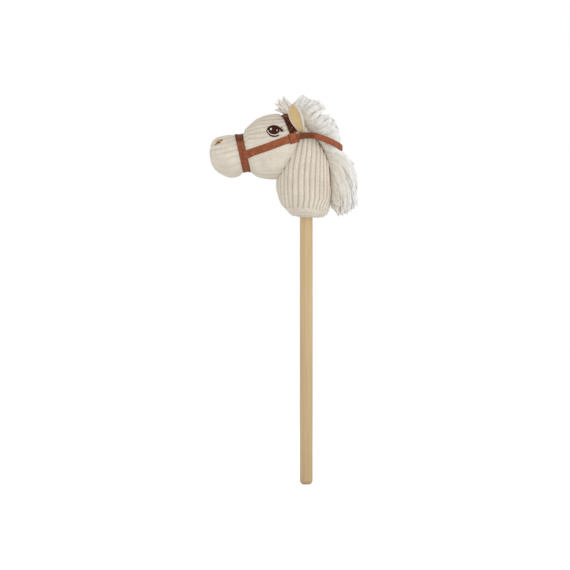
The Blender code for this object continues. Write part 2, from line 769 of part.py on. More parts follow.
def add_embroidery(collection, trees, materials):
    """Eyes, lower lids and nostrils: raised satin stitching on the face panels."""
    dark = materials["dark_thread"]
    eye_mesh = side_patch("eye_left", trees, EYE_CENTRE, EYE_SIZE, EYE_LEAN, 20, THREAD_GAP, 0.12)
    eye = solidify(add_object("eye_left", eye_mesh, collection, dark), THREAD_HEIGHT)
    lid_mesh = side_strap("lower_lid_left", trees, LID_LINE, LID_WIDTH, lambda share: THREAD_GAP, 2, (-0.5, 0.5))
    lid = solidify(add_object("lower_lid_left", lid_mesh, collection, dark), LOW_THREAD_HEIGHT)
    nostril_mesh = side_patch(
        "nostril_left", trees, NOSTRIL_CENTRE, NOSTRIL_SIZE, NOSTRIL_LEAN, 16, THREAD_GAP + 0.4, 0.2
    )
    nostril = add_object("nostril_left", nostril_mesh, collection, materials["tan_thread"])
    solidify(nostril, LOW_THREAD_HEIGHT)
    mirrored(eye, "eye_right", collection)
    mirrored(lid, "lower_lid_right", collection)
    mirrored(nostril, "nostril_right", collection)


# The mane
def add_mane(collection, trees, cutters, materials):
    turn = BACKING_TOP_ANGLE - BACKING_LOW_ANGLE
    angles = [radians(BACKING_TOP_ANGLE - turn * i / 34) for i in range(35)]
    centre = (BACKING_CENTRE[0], 0.0, BACKING_CENTRE[1])
    strip = belt(
        "mane_backing", trees, centre, (1, 0, 0), (0, 0, 1), (0, 1, 0), BACKING_WIDTH, angles, 0.8, False
    )
    solidify(add_object("mane_backing", strip, collection, materials["cotton"]), BACKING_THICKNESS)
    tufts = (
        ("forelock", FORELOCK_SECTIONS),
        ("upper_mane", UPPER_MANE_SECTIONS),
        ("lower_mane", LOWER_MANE_SECTIONS),
    )
    for name, sections in tufts:
        tuft = add_object(name, loft(name, sections, plain_angles(18), 2), collection, materials["fur"])
        boolean(tuft, cutters["head_mane_clear"])
        boolean(tuft, cutters["neck_mane_clear"])


def main():
    clear_scene()
    horse = add_collection("hobby_horse")
    helpers = add_collection("cutters")
    materials = {
        "corduroy": material("cream_corduroy", (0.66, 0.60, 0.50), 0.95),
        "lining": material("tan_felt", (0.60, 0.44, 0.24), 0.9),
        "fur": material("ivory_fur", (0.74, 0.71, 0.66), 0.95),
        "leather": material("brown_leather", (0.25, 0.08, 0.035), 0.5),
        "dark_thread": material("dark_brown_thread", (0.055, 0.018, 0.012), 0.6),
        "tan_thread": material("tan_thread", (0.62, 0.42, 0.18), 0.7),
        "wood": material("beech", (0.59, 0.42, 0.24), 0.5),
        "plywood": material("birch_plywood", (0.70, 0.56, 0.38), 0.6),
        "steel": material("zinc_plated_steel", (0.6, 0.6, 0.62), 0.3, 1.0),
        "cotton": material("cotton_tape", (0.80, 0.77, 0.70), 0.9),
        "cord": material("waxed_cord", (0.75, 0.72, 0.62), 0.8),
        "stuffing": material("polyester_stuffing", (0.9, 0.9, 0.88), 1.0),
    }
    add_stick(horse, helpers, materials["wood"])
    add_anchor(horse, materials)
    add_sleeve(horse, materials)
    cutters, head_form, neck_form = add_body_cutters(helpers)
    add_skin(horse, cutters, materials["corduroy"])
    add_stuffing(horse, helpers, cutters, materials["stuffing"])
    head_tree = tree_of(head_form)
    neck_tree = tree_of(neck_form)
    add_bridle(horse, [head_tree], materials["leather"])
    add_rein(horse, materials["leather"])
    add_ears(horse, cutters, materials)
    add_embroidery(horse, [head_tree], materials)
    add_mane(horse, [head_tree, neck_tree], cutters, materials)


main()
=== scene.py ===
"""Hobby horse: a stuffed corduroy horse's head with a leather bridle and a fur mane on a beech stick.

Tables and helpers work in millimetres; grid_object turns them to metres.
+Z runs up the stick, the muzzle points to -X, and the horse's left side is at -Y.
"""

import functools
from math import cos, pi, radians, sin

import bmesh
import bpy
import numpy as np
from bpy.props import FloatProperty, FloatVectorProperty, IntProperty, PointerProperty
from mathutils import Matrix, Vector, noise
from mathutils.bvhtree import BVHTree


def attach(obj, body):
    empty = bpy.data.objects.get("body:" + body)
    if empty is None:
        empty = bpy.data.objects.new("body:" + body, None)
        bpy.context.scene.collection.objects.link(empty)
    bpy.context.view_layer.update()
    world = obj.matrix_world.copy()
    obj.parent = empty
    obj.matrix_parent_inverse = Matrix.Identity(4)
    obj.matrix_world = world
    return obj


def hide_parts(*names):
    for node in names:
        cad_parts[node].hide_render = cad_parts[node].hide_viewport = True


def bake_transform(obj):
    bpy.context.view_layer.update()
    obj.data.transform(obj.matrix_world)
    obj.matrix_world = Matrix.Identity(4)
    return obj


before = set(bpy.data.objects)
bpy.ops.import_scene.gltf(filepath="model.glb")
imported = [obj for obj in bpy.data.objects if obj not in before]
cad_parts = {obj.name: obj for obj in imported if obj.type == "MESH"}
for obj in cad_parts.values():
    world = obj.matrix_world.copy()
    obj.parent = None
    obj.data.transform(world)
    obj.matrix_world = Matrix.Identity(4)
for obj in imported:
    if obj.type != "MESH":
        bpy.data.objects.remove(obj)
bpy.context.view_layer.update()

bl_info = {
    "name": "Hobby horse",
    "version": (1, 0, 0),
    "blender": (4, 5, 0),
    "location": "3D View > Sidebar > Hobby horse",
    "description": "Makes a stuffed hobby horse with a leather bridle and a fur mane",
    "category": "Add Mesh",
}

MM = 0.001

# Sections of the stuffed head from muzzle to skull, and of the neck from its underside up:
# upper or rear point x and z, lower or front point x and z, half width
HEAD_SECTIONS = (
    (-189.0, 647.0, -189.0, 647.0, 0.0),
    (-187.5, 657.0, -187.5, 635.5, 14.0),
    (-184.0, 667.5, -184.0, 621.5, 25.0),
    (-175.0, 676.0, -175.0, 610.0, 34.0),
    (-158.5, 680.5, -152.0, 598.0, 40.5),
    (-146.5, 681.5, -133.0, 599.5, 40.0),
    (-139.0, 681.5, -123.0, 608.0, 36.5),
    (-132.0, 682.5, -116.0, 610.5, 35.0),
    (-125.5, 685.5, -109.0, 609.5, 36.5),
    (-115.5, 696.5, -98.0, 600.5, 43.0),
    (-98.0, 711.5, -82.5, 595.5, 49.0),
    (-76.5, 720.5, -65.0, 594.0, 52.0),
    (-53.0, 723.0, -47.5, 598.0, 52.5),
    (-33.0, 722.0, -32.0, 613.0, 50.0),
    (-14.0, 714.5, -18.0, 634.5, 44.0),
    (-0.5, 700.5, -6.5, 654.0, 32.0),
    (5.5, 677.0, 5.5, 677.0, 0.0),
)
NECK_SECTIONS = (
    (0.0, 519.0, 0.0, 519.0, 0.0),
    (17.0, 519.0, -15.0, 519.3, 20.0),
    (34.5, 521.5, -28.0, 523.0, 36.0),
    (43.5, 530.0, -37.5, 532.0, 44.0),
    (47.5, 546.5, -49.5, 546.5, 50.0),
    (51.0, 566.0, -56.5, 564.0, 52.5),
    (51.5, 589.5, -59.5, 582.0, 53.0),
    (49.5, 615.0, -57.5, 601.0, 52.5),
    (43.0, 640.0, -51.5, 622.5, 51.0),
    (31.0, 660.5, -41.5, 648.0, 48.0),
    (18.0, 679.0, -34.0, 675.5, 42.0),
    (5.5, 695.5, -26.0, 698.5, 29.0),
    (-8.5, 707.0, -8.5, 707.0, 0.0),
)
# The neck's grooves on the left: a height, and the x of each groove there from front to rear
NECK_GROOVES = (
    (692.5, -41.5, -28.5, -16.0, -3.6, 4.6, 12.2, 18.8, 23.6, 27.5, 30.4),
    (663.8, -38.6, -28.9, -18.2, -7.6, 2.9, 11.8, 20.0, 27.0, 32.2, 37.0),
    (644.4, -40.5, -31.2, -22.1, -10.7, 0.7, 11.2, 20.7, 28.6, 34.8, 39.9),
    (621.1, -43.4, -35.7, -26.0, -14.4, -2.9, 8.1, 18.8, 27.5, 34.6, 40.8),
    (597.9, -44.8, -37.2, -27.5, -16.3, -4.5, 6.8, 17.2, 26.9, 34.7, 41.0),
    (574.6, -45.0, -37.4, -27.9, -16.5, -4.7, 6.9, 17.0, 26.5, 34.5, 42.0),
    (556.2, -43.4, -36.1, -27.7, -16.1, -4.5, 6.9, 17.0, 26.1, 34.1, 40.7),
    (539.7, -40.5, -33.2, -26.6, -17.3, -6.8, 4.2, 13.3, 20.3, 26.9, 33.1),
)
# The mane's outline, tuft by tuft: a root's x and z, the x and z of the tip that grows from it, the half
# width there, how far the hair arches to its left on the way, and how much it is tinted like its roots
FORELOCK_ROWS = (
    (-26.0, 716.0, -36.0, 726.0, 8.0, 0.0, 0.9),
    (-26.0, 716.0, -43.5, 725.6, 8.0, 0.0, 0.9),
    (-26.0, 716.0, -47.4, 727.6, 9.0, -0.03, 0.9),
    (-26.0, 716.0, -53.0, 729.8, 10.0, -0.05, 0.9),
    (-26.0, 716.5, -62.8, 730.3, 11.0, -0.1, 0.8),
    (-25.0, 717.0, -53.0, 734.0, 12.0, -0.08, 0.7),
    (-24.0, 717.0, -61.8, 742.8, 13.0, -0.08, 0.6),
    (-23.0, 717.0, -53.4, 741.8, 13.5, -0.06, 0.6),
    (-22.5, 717.0, -57.9, 748.4, 14.0, -0.06, 0.5),
    (-22.0, 717.0, -53.8, 747.2, 14.0, -0.06, 0.5),
    (-21.5, 717.0, -56.6, 752.9, 14.0, -0.05, 0.5),
    (-19.0, 717.0, -46.8, 750.6, 14.0, -0.04, 0.5),
    (-18.0, 716.5, -45.8, 758.4, 13.0, -0.04, 0.4),
    (-14.0, 715.0, -28.1, 741.0, 11.0, 0.0, 0.4),
)
UPPER_ROWS = (
    (-20.0, 716.0, -28.1, 741.0, 12.0, -0.05, 0.4),
    (-15.0, 716.5, -7.0, 760.6, 18.0, 0.05, 0.2),
    (-11.0, 714.0, 7.4, 751.0, 23.0, 0.08, 0.15),
    (-9.0, 712.0, 13.3, 749.0, 25.0, 0.1, 0.15),
    (-4.0, 708.0, 26.7, 748.8, 28.0, 0.15, 0.15),
    (2.0, 701.0, 38.2, 733.4, 30.0, 0.3, 0.15),
    (9.0, 694.0, 26.5, 725.5, 31.0, 0.15, 0.15),
)
BACK_ROWS = (
    (9.0, 693.5, 26.0, 724.5, 31.0, 0.12, 0.15),
    (12.5, 689.5, 32.0, 720.3, 31.5, 0.12, 0.15),
    (14.0, 688.0, 46.3, 721.9, 32.0, 0.15, 0.15),
    (15.5, 686.5, 43.0, 716.3, 32.0, 0.12, 0.1),
    (18.5, 683.0, 52.3, 714.4, 32.0, 0.12, 0.1),
    (22.0, 678.0, 57.2, 707.5, 32.0, 0.1, 0.1),
    (27.0, 670.5, 63.0, 694.0, 30.0, 0.1, 0.1),
    (31.0, 665.0, 66.0, 681.0, 28.0, 0.1, 0.1),
    (37.0, 656.5, 68.0, 667.5, 26.0, 0.08, 0.1),
)
LOWER_ROWS = (
    (35.0, 659.0, 70.2, 651.9, 24.0, 0.12, 0.1),
    (36.0, 657.0, 80.5, 636.8, 27.0, 0.16, 0.1),
    (36.5, 656.0, 94.8, 623.4, 29.0, 0.2, 0.1),
    (37.0, 655.0, 93.2, 618.5, 29.0, 0.22, 0.1),
    (37.5, 654.0, 96.9, 610.7, 30.0, 0.24, 0.1),
    (38.0, 653.0, 95.4, 607.0, 30.0, 0.24, 0.1),
    (38.5, 652.0, 98.8, 599.6, 30.0, 0.26, 0.1),
    (40.0, 647.0, 101.7, 573.9, 30.0, 0.27, 0.1),
    (43.5, 638.0, 100.4, 541.0, 29.0, 0.26, 0.1),
    (44.5, 634.0, 95.2, 543.8, 28.0, 0.25, 0.1),
    (45.5, 631.0, 94.6, 537.0, 27.0, 0.24, 0.15),
    (46.5, 627.0, 90.3, 537.4, 27.0, 0.23, 0.2),
    (47.5, 622.0, 87.6, 530.8, 26.0, 0.22, 0.25),
    (48.5, 617.0, 82.3, 530.2, 25.0, 0.21, 0.3),
    (49.5, 611.0, 79.2, 524.4, 24.0, 0.2, 0.35),
    (50.5, 604.0, 75.0, 528.5, 23.0, 0.19, 0.4),
    (51.0, 597.0, 71.6, 522.0, 21.0, 0.18, 0.5),
    (51.5, 590.0, 68.8, 525.0, 20.0, 0.16, 0.55),
    (52.0, 583.0, 63.6, 520.0, 18.0, 0.14, 0.6),
    (51.5, 573.0, 55.6, 533.5, 15.0, 0.12, 0.7),
    (50.0, 560.0, 48.6, 538.4, 12.0, 0.1, 0.8),
)
# Short hair that covers the mane's seam beside the neck, over the rein and under it
UPPER_EDGE_ROWS = (
    (-9.0, 709.5, 9.0, 725.7, 34.0, 0.1, 0.9),
    (-5.5, 706.0, 15.8, 720.9, 34.0, 0.1, 0.9),
    (-0.5, 700.5, 23.6, 714.1, 34.0, 0.1, 0.8),
    (5.0, 694.8, 32.4, 705.3, 34.0, 0.1, 0.7),
    (12.0, 688.0, 40.2, 694.6, 33.0, 0.1, 0.6),
    (20.0, 681.0, 47.9, 678.1, 32.0, 0.1, 0.5),
    (25.0, 674.0, 50.0, 662.0, 31.0, 0.1, 0.5),
)
LOWER_EDGE_ROWS = (
    (25.5, 673.6, 52.0, 661.0, 31.0, 0.12, 0.5),
    (33.5, 661.0, 64.6, 643.6, 31.0, 0.16, 0.6),
    (40.3, 647.8, 74.4, 623.3, 32.0, 0.2, 0.6),
    (46.3, 630.0, 81.3, 596.0, 32.0, 0.23, 0.7),
    (50.8, 610.6, 82.2, 570.8, 31.0, 0.25, 0.7),
    (52.2, 591.0, 78.3, 548.4, 29.0, 0.23, 0.8),
    (53.0, 575.4, 68.5, 535.6, 27.0, 0.18, 0.8),
    (52.0, 559.8, 57.3, 538.3, 22.0, 0.1, 0.9),
)
# The left ear's middle line from its sewn base to its tip: x, y, z and half width
EAR_LINE = (
    (-9.5, -36.5, 680.5, 4.0),
    (-10.0, -44.0, 686.0, 5.5),
    (-11.3, -47.5, 692.5, 8.8),
    (-14.0, -48.3, 699.5, 11.3),
    (-16.5, -48.6, 707.5, 13.3),
    (-19.5, -49.2, 718.0, 13.8),
    (-23.0, -50.0, 728.0, 11.0),
    (-24.8, -50.6, 734.5, 6.0),
    (-25.9, -51.0, 739.5, 0.8),
)
EAR_OPENING = (-0.34, -0.94, 0.0)
EAR_CUP = radians(50)
# Lines in side view, x and z
CHEEK_LINE = ((-121.0, 640.0), (-98.0, 648.2), (-72.0, 657.0), (-45.0, 667.1), (-22.3, 674.6))
REIN_LINE = (
    (-21.8, 674.8),
    (-9.2, 677.2),
    (3.5, 678.4),
    (19.7, 677.0),
    (32.6, 672.6),
    (48.8, 666.4),
    (58.5, 662.0),
    (70.0, 655.5),
)
REIN_HALF_SPAN = 53.0
REIN_HINGE_X = -9.2
NOSEBAND_CENTRE = (-124.0, 646.5)
NOSEBAND_LEAN = 12.5
BROWBAND_CENTRE = (-22.9, 678.0)
BROWBAND_LEAN = 21.5
BROWBAND_REACH = 83.0
LOOP_CENTRE = (-26.2, 672.7)
NECK_WALES = 32
TOP_WALE = 7.8
BASE_TOP = 535.5
BASE_SEAM = 528.0
# Shares across a strap, closer together near its edges so that they come out round
LANES = np.sin(np.linspace(-pi / 2, pi / 2, 13))
LEFT = (0, -1, 0)
# The brown line beside the mane, a raised band of thread that paints the shadow between the neck and the
# mane: top and foot, distance to the left, half width
SHADE_LINE_HEIGHTS = (662, 580)
SHADE_LINE_Y = -20.5
SHADE_LINE_HALF = 0.65
STICK_TOP = 610.0
FOOT_FLAT = 5
FOOT_HEIGHT = 8
SLEEVE_TOP = 606
SLEEVE_FOOT = 524.0
SLEEVE_RADII = (12.95, 14.0)
# The cord round the sleeve: where its turns start, how far out they are, its radius and its turns' spacing
CORD_START = 543.4
CORD_REACH = 15.3
CORD_RADIUS = 0.75
CORD_SPACING = 1.1
CORD_TURNS = 3
# The noseband splits the face's wales: those in front of it belong to the muzzle
MUZZLE_END = -117
UPPER_LID = (
    (-76.8, 685.6),
    (-76.0, 689.4),
    (-72.4, 694.0),
    (-69.0, 695.8),
    (-63.2, 697.0),
    (-57.0, 695.6),
    (-52.4, 692.4),
    (-48.8, 689.2),
    (-46.6, 686.8),
)
LOWER_LID = ((-76.6, 686.0), (-73.0, 681.4), (-68.8, 678.0), (-63.0, 676.6), (-57.2, 677.2), (-53.0, 679.6))
LASHES = (
    ((-52.6, 692.0), (-50.0, 692.6), (-47.0, 694.8)),
    ((-51.0, 689.6), (-48.0, 689.6), (-44.6, 691.2)),
    ((-50.0, 687.6), (-47.2, 686.4), (-43.8, 687.2)),
)
# The nostril's stitches, each with its widths from end to end
NOSTRIL_STITCHES = (
    (((-176.6, 660.6), (-175.4, 662.2), (-173.6, 663.8)), (0.8, 1.1, 0.9)),
    (((-172.8, 664.4), (-170.4, 665.6), (-168.2, 666.8)), (1.4, 2.5, 1.4)),
    (((-169.4, 664.8), (-168.0, 664.0), (-166.8, 663.6)), (0.8, 1.1, 0.7)),
    (((-166.6, 668.2), (-165.0, 669.2), (-163.4, 669.9)), (1.2, 2.2, 1.0)),
)
# Tufts of the mane: name, node, table, locks on each side, the locks' radius and the seed of their draws
TUFTS = (
    ("forelock", "forelock", FORELOCK_ROWS, 70, 2.6, 11),
    ("upper_mane", "upper_mane", UPPER_ROWS, 110, 5.0, 23),
    ("rear_mane", "upper_mane", BACK_ROWS, 110, 5.0, 31),
    ("lower_mane", "lower_mane", LOWER_ROWS, 130, 4.5, 37),
)
EDGE_TUFTS = (
    ("upper_edge", "upper_mane", UPPER_EDGE_ROWS, 60, 3.5, 51),
    ("lower_edge", "lower_mane", LOWER_EDGE_ROWS, 90, 3.5, 61),
)
# Soft boxes in metres and watts: name, place, what it points at, power
LAMPS = (
    ("key_lamp", (-1.4, -2.5, 1.2), (-0.04, 0, 0.6), 6.5),
    ("low_lamp", (0.5, -2.0, 0.2), (0.0, 0, 0.6), 12),
    ("left_lamp", (-2.4, -0.9, 0.6), (0.0, 0, 0.6), 10),
    ("right_lamp", (2.4, -1.1, 0.9), (0.0, 0, 0.6), 17),
    ("rear_lamp", (1.6, 2.2, 1.6), (0.0, 0, 0.6), 16),
)
LAMP_SIZE = 1.6
FLOOR_REACH = 12.0
FLOOR_GLOW = 0.45
WORLD_STRENGTH = 0.72
CAMERA_PLACE = (-0.0415, -8.0, 0.3886)
CAMERA_LENS = 259.2
CAMERA_RANGE = 60


def length(name, description, default):
    """A setting that is a length in metres."""
    return FloatProperty(name=name, description=description, default=default, unit="LENGTH")


class HorseSizes(bpy.types.PropertyGroup):
    """Sizes of the pieces that the frame leaves open."""

    stick_radius: length("Stick radius", "Half the thickness of the beech stick", 0.0125)
    face_wale_pitch: length("Face wale pitch", "Distance between the face's wales", 0.0102)
    face_wale_depth: length("Face wale depth", "Depth of the face's grooves", 0.0015)
    neck_wale_depth: length("Neck wale depth", "Depth of the neck's grooves", 0.0026)
    cloth_thickness: length("Cloth thickness", "Thickness of the corduroy", 0.0018)
    strap_thickness: length("Strap thickness", "Thickness of the bridle's straps", 0.0017)
    cheek_strap_width: length("Cheek strap width", "Width of the straps on the cheeks", 0.0148)
    noseband_width: length("Noseband width", "Width of the strap round the muzzle", 0.015)
    browband_width: length("Browband width", "Width of the strap over the brow", 0.0155)
    rein_width: length("Rein width", "Width of the strap behind the mane", 0.012)
    strand_radius: length("Strand radius", "Half the thickness of a strand of fur", 0.0003)
    strands: IntProperty(name="Strands", description="Strands in each lock of the mane", default=48)


def linear(code):
    """A hex colour as linear red, green and blue."""
    values = [int(code[i : i + 2], 16) / 255 for i in (1, 3, 5)]
    return tuple(v / 12.92 if v <= 0.04045 else ((v + 0.055) / 1.055) ** 2.4 for v in values)


def colour(name, description, code):
    """A colour setting."""
    return FloatVectorProperty(
        name=name, description=description, subtype="COLOR", size=3, default=linear(code)
    )


class HorseColours(bpy.types.PropertyGroup):
    """Colours of the finishes."""

    cream: colour("Cream", "Crests of the corduroy's wales", "#ddd4c5")
    # The grooves' colour: partly the base cloth, partly painted shade in the recesses
    groove: colour("Groove", "Base cloth between the wales", "#a08b70")
    felt: colour("Felt", "Lining of the ears", "#cdb384")
    leather: colour("Leather", "Straps of the bridle", "#87482e")
    leather_light: colour("Worn leather", "Rubbed places of the straps", "#a06245")
    # Dark leather: the straps' dyed edges and dark speckles, and painted shade on the browband, the
    # noseband's top and the loop's edges
    leather_dark: colour("Dark leather", "Dark places of the straps", "#2c140d")
    dark_thread: colour("Dark thread", "Embroidered eyes", "#3a150b")
    brown_thread: colour("Brown thread", "Stitches of the nostrils", "#6e2e1d")
    # A brown band of thread that paints the shadow line between the neck and the mane
    shade_line_thread: colour("Seam thread", "Stitches along the mane", "#b3825c")
    tan_thread: colour("Tan thread", "Embroidered nostrils", "#d4b076")
    pale_thread: colour("Pale thread", "Lights in the eyes", "#f2ece0")
    fur: colour("Fur", "Middle of the fur's strands", "#fefcf6")
    fur_tip: colour("Fur tips", "Ends of the fur's strands", "#ffffff")
    fur_root: colour("Fur roots", "Roots of the fur's strands", "#eee2cf")
    beech: colour("Beech", "Pale wood of the stick", "#c9ae83")
    beech_dark: colour("Beech grain", "Darker streaks of the stick", "#b79a6c")
    cotton: colour("Cotton", "Tape, sleeve and cord inside the head", "#ded8c8")
    floor: colour("Floor", "Floor under the horse", "#e6e6e6")


# Helpers: smooth tables and forms
def smooth_table(rows, steps):
    """The rows of a table with steps - 1 smooth rows between each two, as an array."""
    table = np.array(rows, float)
    last = len(table) - 1
    index = np.arange(last)
    before, start, end = table[np.maximum(index - 1, 0)], table[index], table[index + 1]
    after = table[np.minimum(index + 2, last)]
    t = (np.arange(steps) / steps)[:, None, None]
    made = 0.5 * (
        2 * start
        + (end - before) * t
        + (2 * before - 5 * start + 4 * end - after) * t**2
        + (3 * start - before - 3 * end + after) * t**3
    )
    return np.vstack([made.transpose(1, 0, 2).reshape(-1, table.shape[1]), table[-1:]])


def ease(low, high, values):
    """0 below low, 1 above high, and smooth between."""
    share = np.clip((values - low) / (high - low), 0, 1)
    return share * share * (3 - 2 * share)


def form_grid(sections, steps, angles):
    """Points of a stuffed form: a ring for each section, from its first point round by its left."""
    rows = smooth_table(sections, steps)
    first, last, half = rows[:, None, 0:2], rows[:, None, 2:4], rows[:, 4:5]
    flat = (first + last) / 2 + (first - last) / 2 * np.cos(angles)[None, :, None]
    return np.stack([flat[..., 0], -half * np.sin(angles), flat[..., 1]], axis=-1)


def outward(grid):
    """The outward direction at each point of a form's grid."""
    normal = np.cross(np.gradient(grid, axis=1), np.gradient(grid, axis=0))
    return normal / np.maximum(np.linalg.norm(normal, axis=-1, keepdims=True), 1e-9)


def run_along(points, axis):
    """How far each point is along its row or column, in millimetres."""
    steps = np.linalg.norm(np.diff(points, axis=axis), axis=-1)
    start = np.zeros_like(np.take(steps, [0], axis=axis))
    return np.concatenate([start, np.cumsum(steps, axis=axis)], axis=axis)


def soft_noise(points, size):
    """Smooth values from -1 to 1 that change over size millimetres."""
    flat = (points / size).reshape(-1, 3)
    return np.array([noise.noise(Vector(p)) for p in flat]).reshape(points.shape[:-1])


def wale(phase, softness=0.85):
    """Height of the cloth across its wales: 0 in a groove, 1 on a crest; the phase grows by 1 each wale."""
    share = 2 * (phase - np.floor(phase)) - 1
    return np.maximum(1 - share**2, 0) ** softness


@functools.cache
def form_tree(part):
    """The plain head or neck for rays, without wales; its edges are kept off the middle plane."""
    if part == "head":
        grid = form_grid(HEAD_SECTIONS, 8, np.linspace(0, 2 * pi, 145) + 0.02)
    else:
        grid = form_grid(NECK_SECTIONS, 8, np.linspace(2 * pi, 0, 145) + 0.02)
    faces = grid_faces(np.arange(grid.shape[0] * grid.shape[1]).reshape(grid.shape[:2]))
    return BVHTree.FromPolygons(grid.reshape(-1, 3).tolist(), faces.tolist())


def surface(part, origin, direction):
    """Where a ray from inside a form leaves it, and the outward direction there."""
    place, normal, _, _ = form_tree(part).ray_cast(Vector(origin), Vector(direction))
    if place is None:
        raise RuntimeError(f"no {part} surface at {tuple(origin)}")
    if normal.dot(Vector(direction)) < 0:
        normal.negate()
    return place, normal


# Helpers: pieces
def grid_faces(index):
    """Four-sided faces between the rows and columns of point numbers."""
    corners = [index[:-1, :-1], index[:-1, 1:], index[1:, 1:], index[1:, :-1]]
    return np.stack(corners, axis=-1).reshape(-1, 4)


def grid_object(name, grid, finish, wrap_rows=False, wrap_columns=False, solid=False, values=None):
    """A piece from rows of points in millimetres; values are kept on its points for its finish."""
    rows, columns = grid.shape[:2]
    index = np.arange(rows * columns).reshape(rows, columns)
    if wrap_rows:
        index = np.vstack([index, index[:1]])
    if wrap_columns:
        index = np.hstack([index, index[:, :1]])
    mesh = bpy.data.meshes.new(name)
    mesh.from_pydata((grid.reshape(-1, 3) * MM).tolist(), [], grid_faces(index).tolist())
    for key, value in (values or {}).items():
        spread = np.ascontiguousarray(np.broadcast_to(value, (rows, columns)), np.float32)
        mesh.attributes.new(key, "FLOAT", "POINT").data.foreach_set("value", spread.ravel())
    work = bmesh.new()
    work.from_mesh(mesh)
    bmesh.ops.remove_doubles(work, verts=work.verts, dist=1e-6)
    if solid:
        bmesh.ops.holes_fill(work, edges=[edge for edge in work.edges if edge.is_boundary])
        bmesh.ops.recalc_face_normals(work, faces=work.faces)
    work.to_mesh(mesh)
    work.free()
    return link(name, mesh, finish)


def link(name, mesh, finish):
    """Puts a mesh in the scene as a smooth piece with its finish."""
    mesh.materials.append(finish)
    mesh.shade_smooth()
    obj = bpy.data.objects.new(name, mesh)
    bpy.context.scene.collection.objects.link(obj)
    return obj


def joined(name, pieces):
    """Several pieces of one finish as one, which takes the place of its parts."""
    work = bmesh.new()
    for piece in pieces:
        work.from_mesh(piece.data)
    mesh = bpy.data.meshes.new(name)
    work.to_mesh(mesh)
    work.free()
    made = link(name, mesh, pieces[0].data.materials[0])
    for piece in pieces:
        bpy.data.meshes.remove(piece.data)
    return made


def mirrored(obj):
    """The right-hand copy of a left-hand piece."""
    mesh = obj.data.copy()
    mesh.transform(Matrix.Scale(-1, 4, (0, 1, 0)))
    mesh.flip_normals()
    made = bpy.data.objects.new(obj.name.replace("_left", "_right"), mesh)
    bpy.context.scene.collection.objects.link(made)
    return made


def fasten(obj, slot, *nodes):
    """Puts a piece on the horse in place of its CAD nodes."""
    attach(obj, "horse")
    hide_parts(*nodes)
    return obj


def fasten_pair(obj, slot, *nodes):
    """Puts a left-hand piece and its mirror image on the horse, each in place of its own side's nodes."""
    other = fasten(mirrored(obj), slot, *[node.replace("_left", "_right") for node in nodes])
    return fasten(obj, slot, *nodes), other


def refinish(node, finish):
    """Gives a CAD solid that stays in view a better finish."""
    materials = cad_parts[node].data.materials
    materials.clear()
    materials.append(finish)


def trim_inside(obj, part, depth):
    """Takes off what lies deeper than depth inside the head or the neck."""
    tree = form_tree(part)
    work = bmesh.new()
    work.from_mesh(obj.data)
    hidden = []
    for vertex in work.verts:
        place, normal, _, _ = tree.find_nearest(vertex.co / MM)
        if (vertex.co / MM - place).dot(normal) < -depth:
            hidden.append(vertex)
    bmesh.ops.delete(work, geom=hidden, context="VERTS")
    work.to_mesh(obj.data)
    work.free()


def thicken(obj, thickness):
    """Gives a sheet its thickness, inwards."""
    modifier = obj.modifiers.new("Cloth thickness", "SOLIDIFY")
    modifier.thickness = thickness
    modifier.offset = -1
    made = bpy.data.meshes.new_from_object(obj.evaluated_get(bpy.context.evaluated_depsgraph_get()))
    obj.modifiers.clear()
    obj.data = made
    obj.data.shade_smooth()


def band(name, places, normals, lift, height, finish, wrap=False, values=None):
    """A strap, leaf or stroke: rows of surface points, one for each of LANES, thickened from lift by height.

    Lift and height are one number, a number for each row in a column, or one for each point.
    """
    edge = np.sqrt(1 - np.abs(LANES) ** 8)[None, :]
    low = (lift + height * (0.5 - 0.5 * edge))[..., None]
    high = (lift + height * (0.5 + 0.5 * edge))[..., None]
    rings = np.concatenate([places + normals * low, (places + normals * high)[:, ::-1]], axis=1)
    kept = {
        "across": np.concatenate([LANES, LANES[::-1]]),
        "along": run_along(places[:, len(LANES) // 2], 0)[:, None],
        "shade": 0.0,
        "tone": 1.0,
    }
    kept.update(values or {})
    return grid_object(name, rings, finish, wrap_rows=wrap, wrap_columns=True, solid=not wrap, values=kept)


def cast_lanes(part, rows):
    """Surface points and outward directions for rows of rays, each an origin and a direction."""
    hits = [[surface(part, origin, direction) for origin, direction in row] for row in rows]
    return tuple(np.array([[hit[i] for hit in row] for row in hits]) for i in (0, 1))


def side_lanes(line, widths, steps):
    """Surface points and outward directions along a line on the left side, across its width."""
    points = smooth_table(line, steps)
    run = np.gradient(points, axis=0)
    run /= np.linalg.norm(run, axis=1, keepdims=True)
    widths = np.broadcast_to(widths, len(points))
    rows = []
    for (x, z), (run_x, run_z), width in zip(points, run, widths):
        rows.append([((x - run_z * width * s / 2, 0, z + run_x * width * s / 2), LEFT) for s in LANES])
    return cast_lanes("head", rows)


def belt_lanes(centre, lean, width, angles):
    """Surface points and outward directions round the head, in a plane leaned back about the Y axis."""
    up = np.array((-sin(radians(lean)), 0, cos(radians(lean))))
    along = np.array((cos(radians(lean)), 0, sin(radians(lean))))
    middle = np.array((centre[0], 0, centre[1]))
    rows = []
    for angle in angles:
        direction = up * cos(angle) + np.array(LEFT) * sin(angle)
        rows.append([(middle + along * width * s / 2, direction) for s in LANES])
    return cast_lanes("head", rows)


# Finishes
def add_node(tree, kind, inputs=None, **settings):
    """Adds one node with its settings; an input is a value or another node's output."""
    made = tree.nodes.new(kind)
    for key, value in settings.items():
        setattr(made, key, value)
    for key, value in (inputs or {}).items():
        if isinstance(value, bpy.types.NodeSocket):
            tree.links.new(value, made.inputs[key])
        else:
            made.inputs[key].default_value = value
    return made


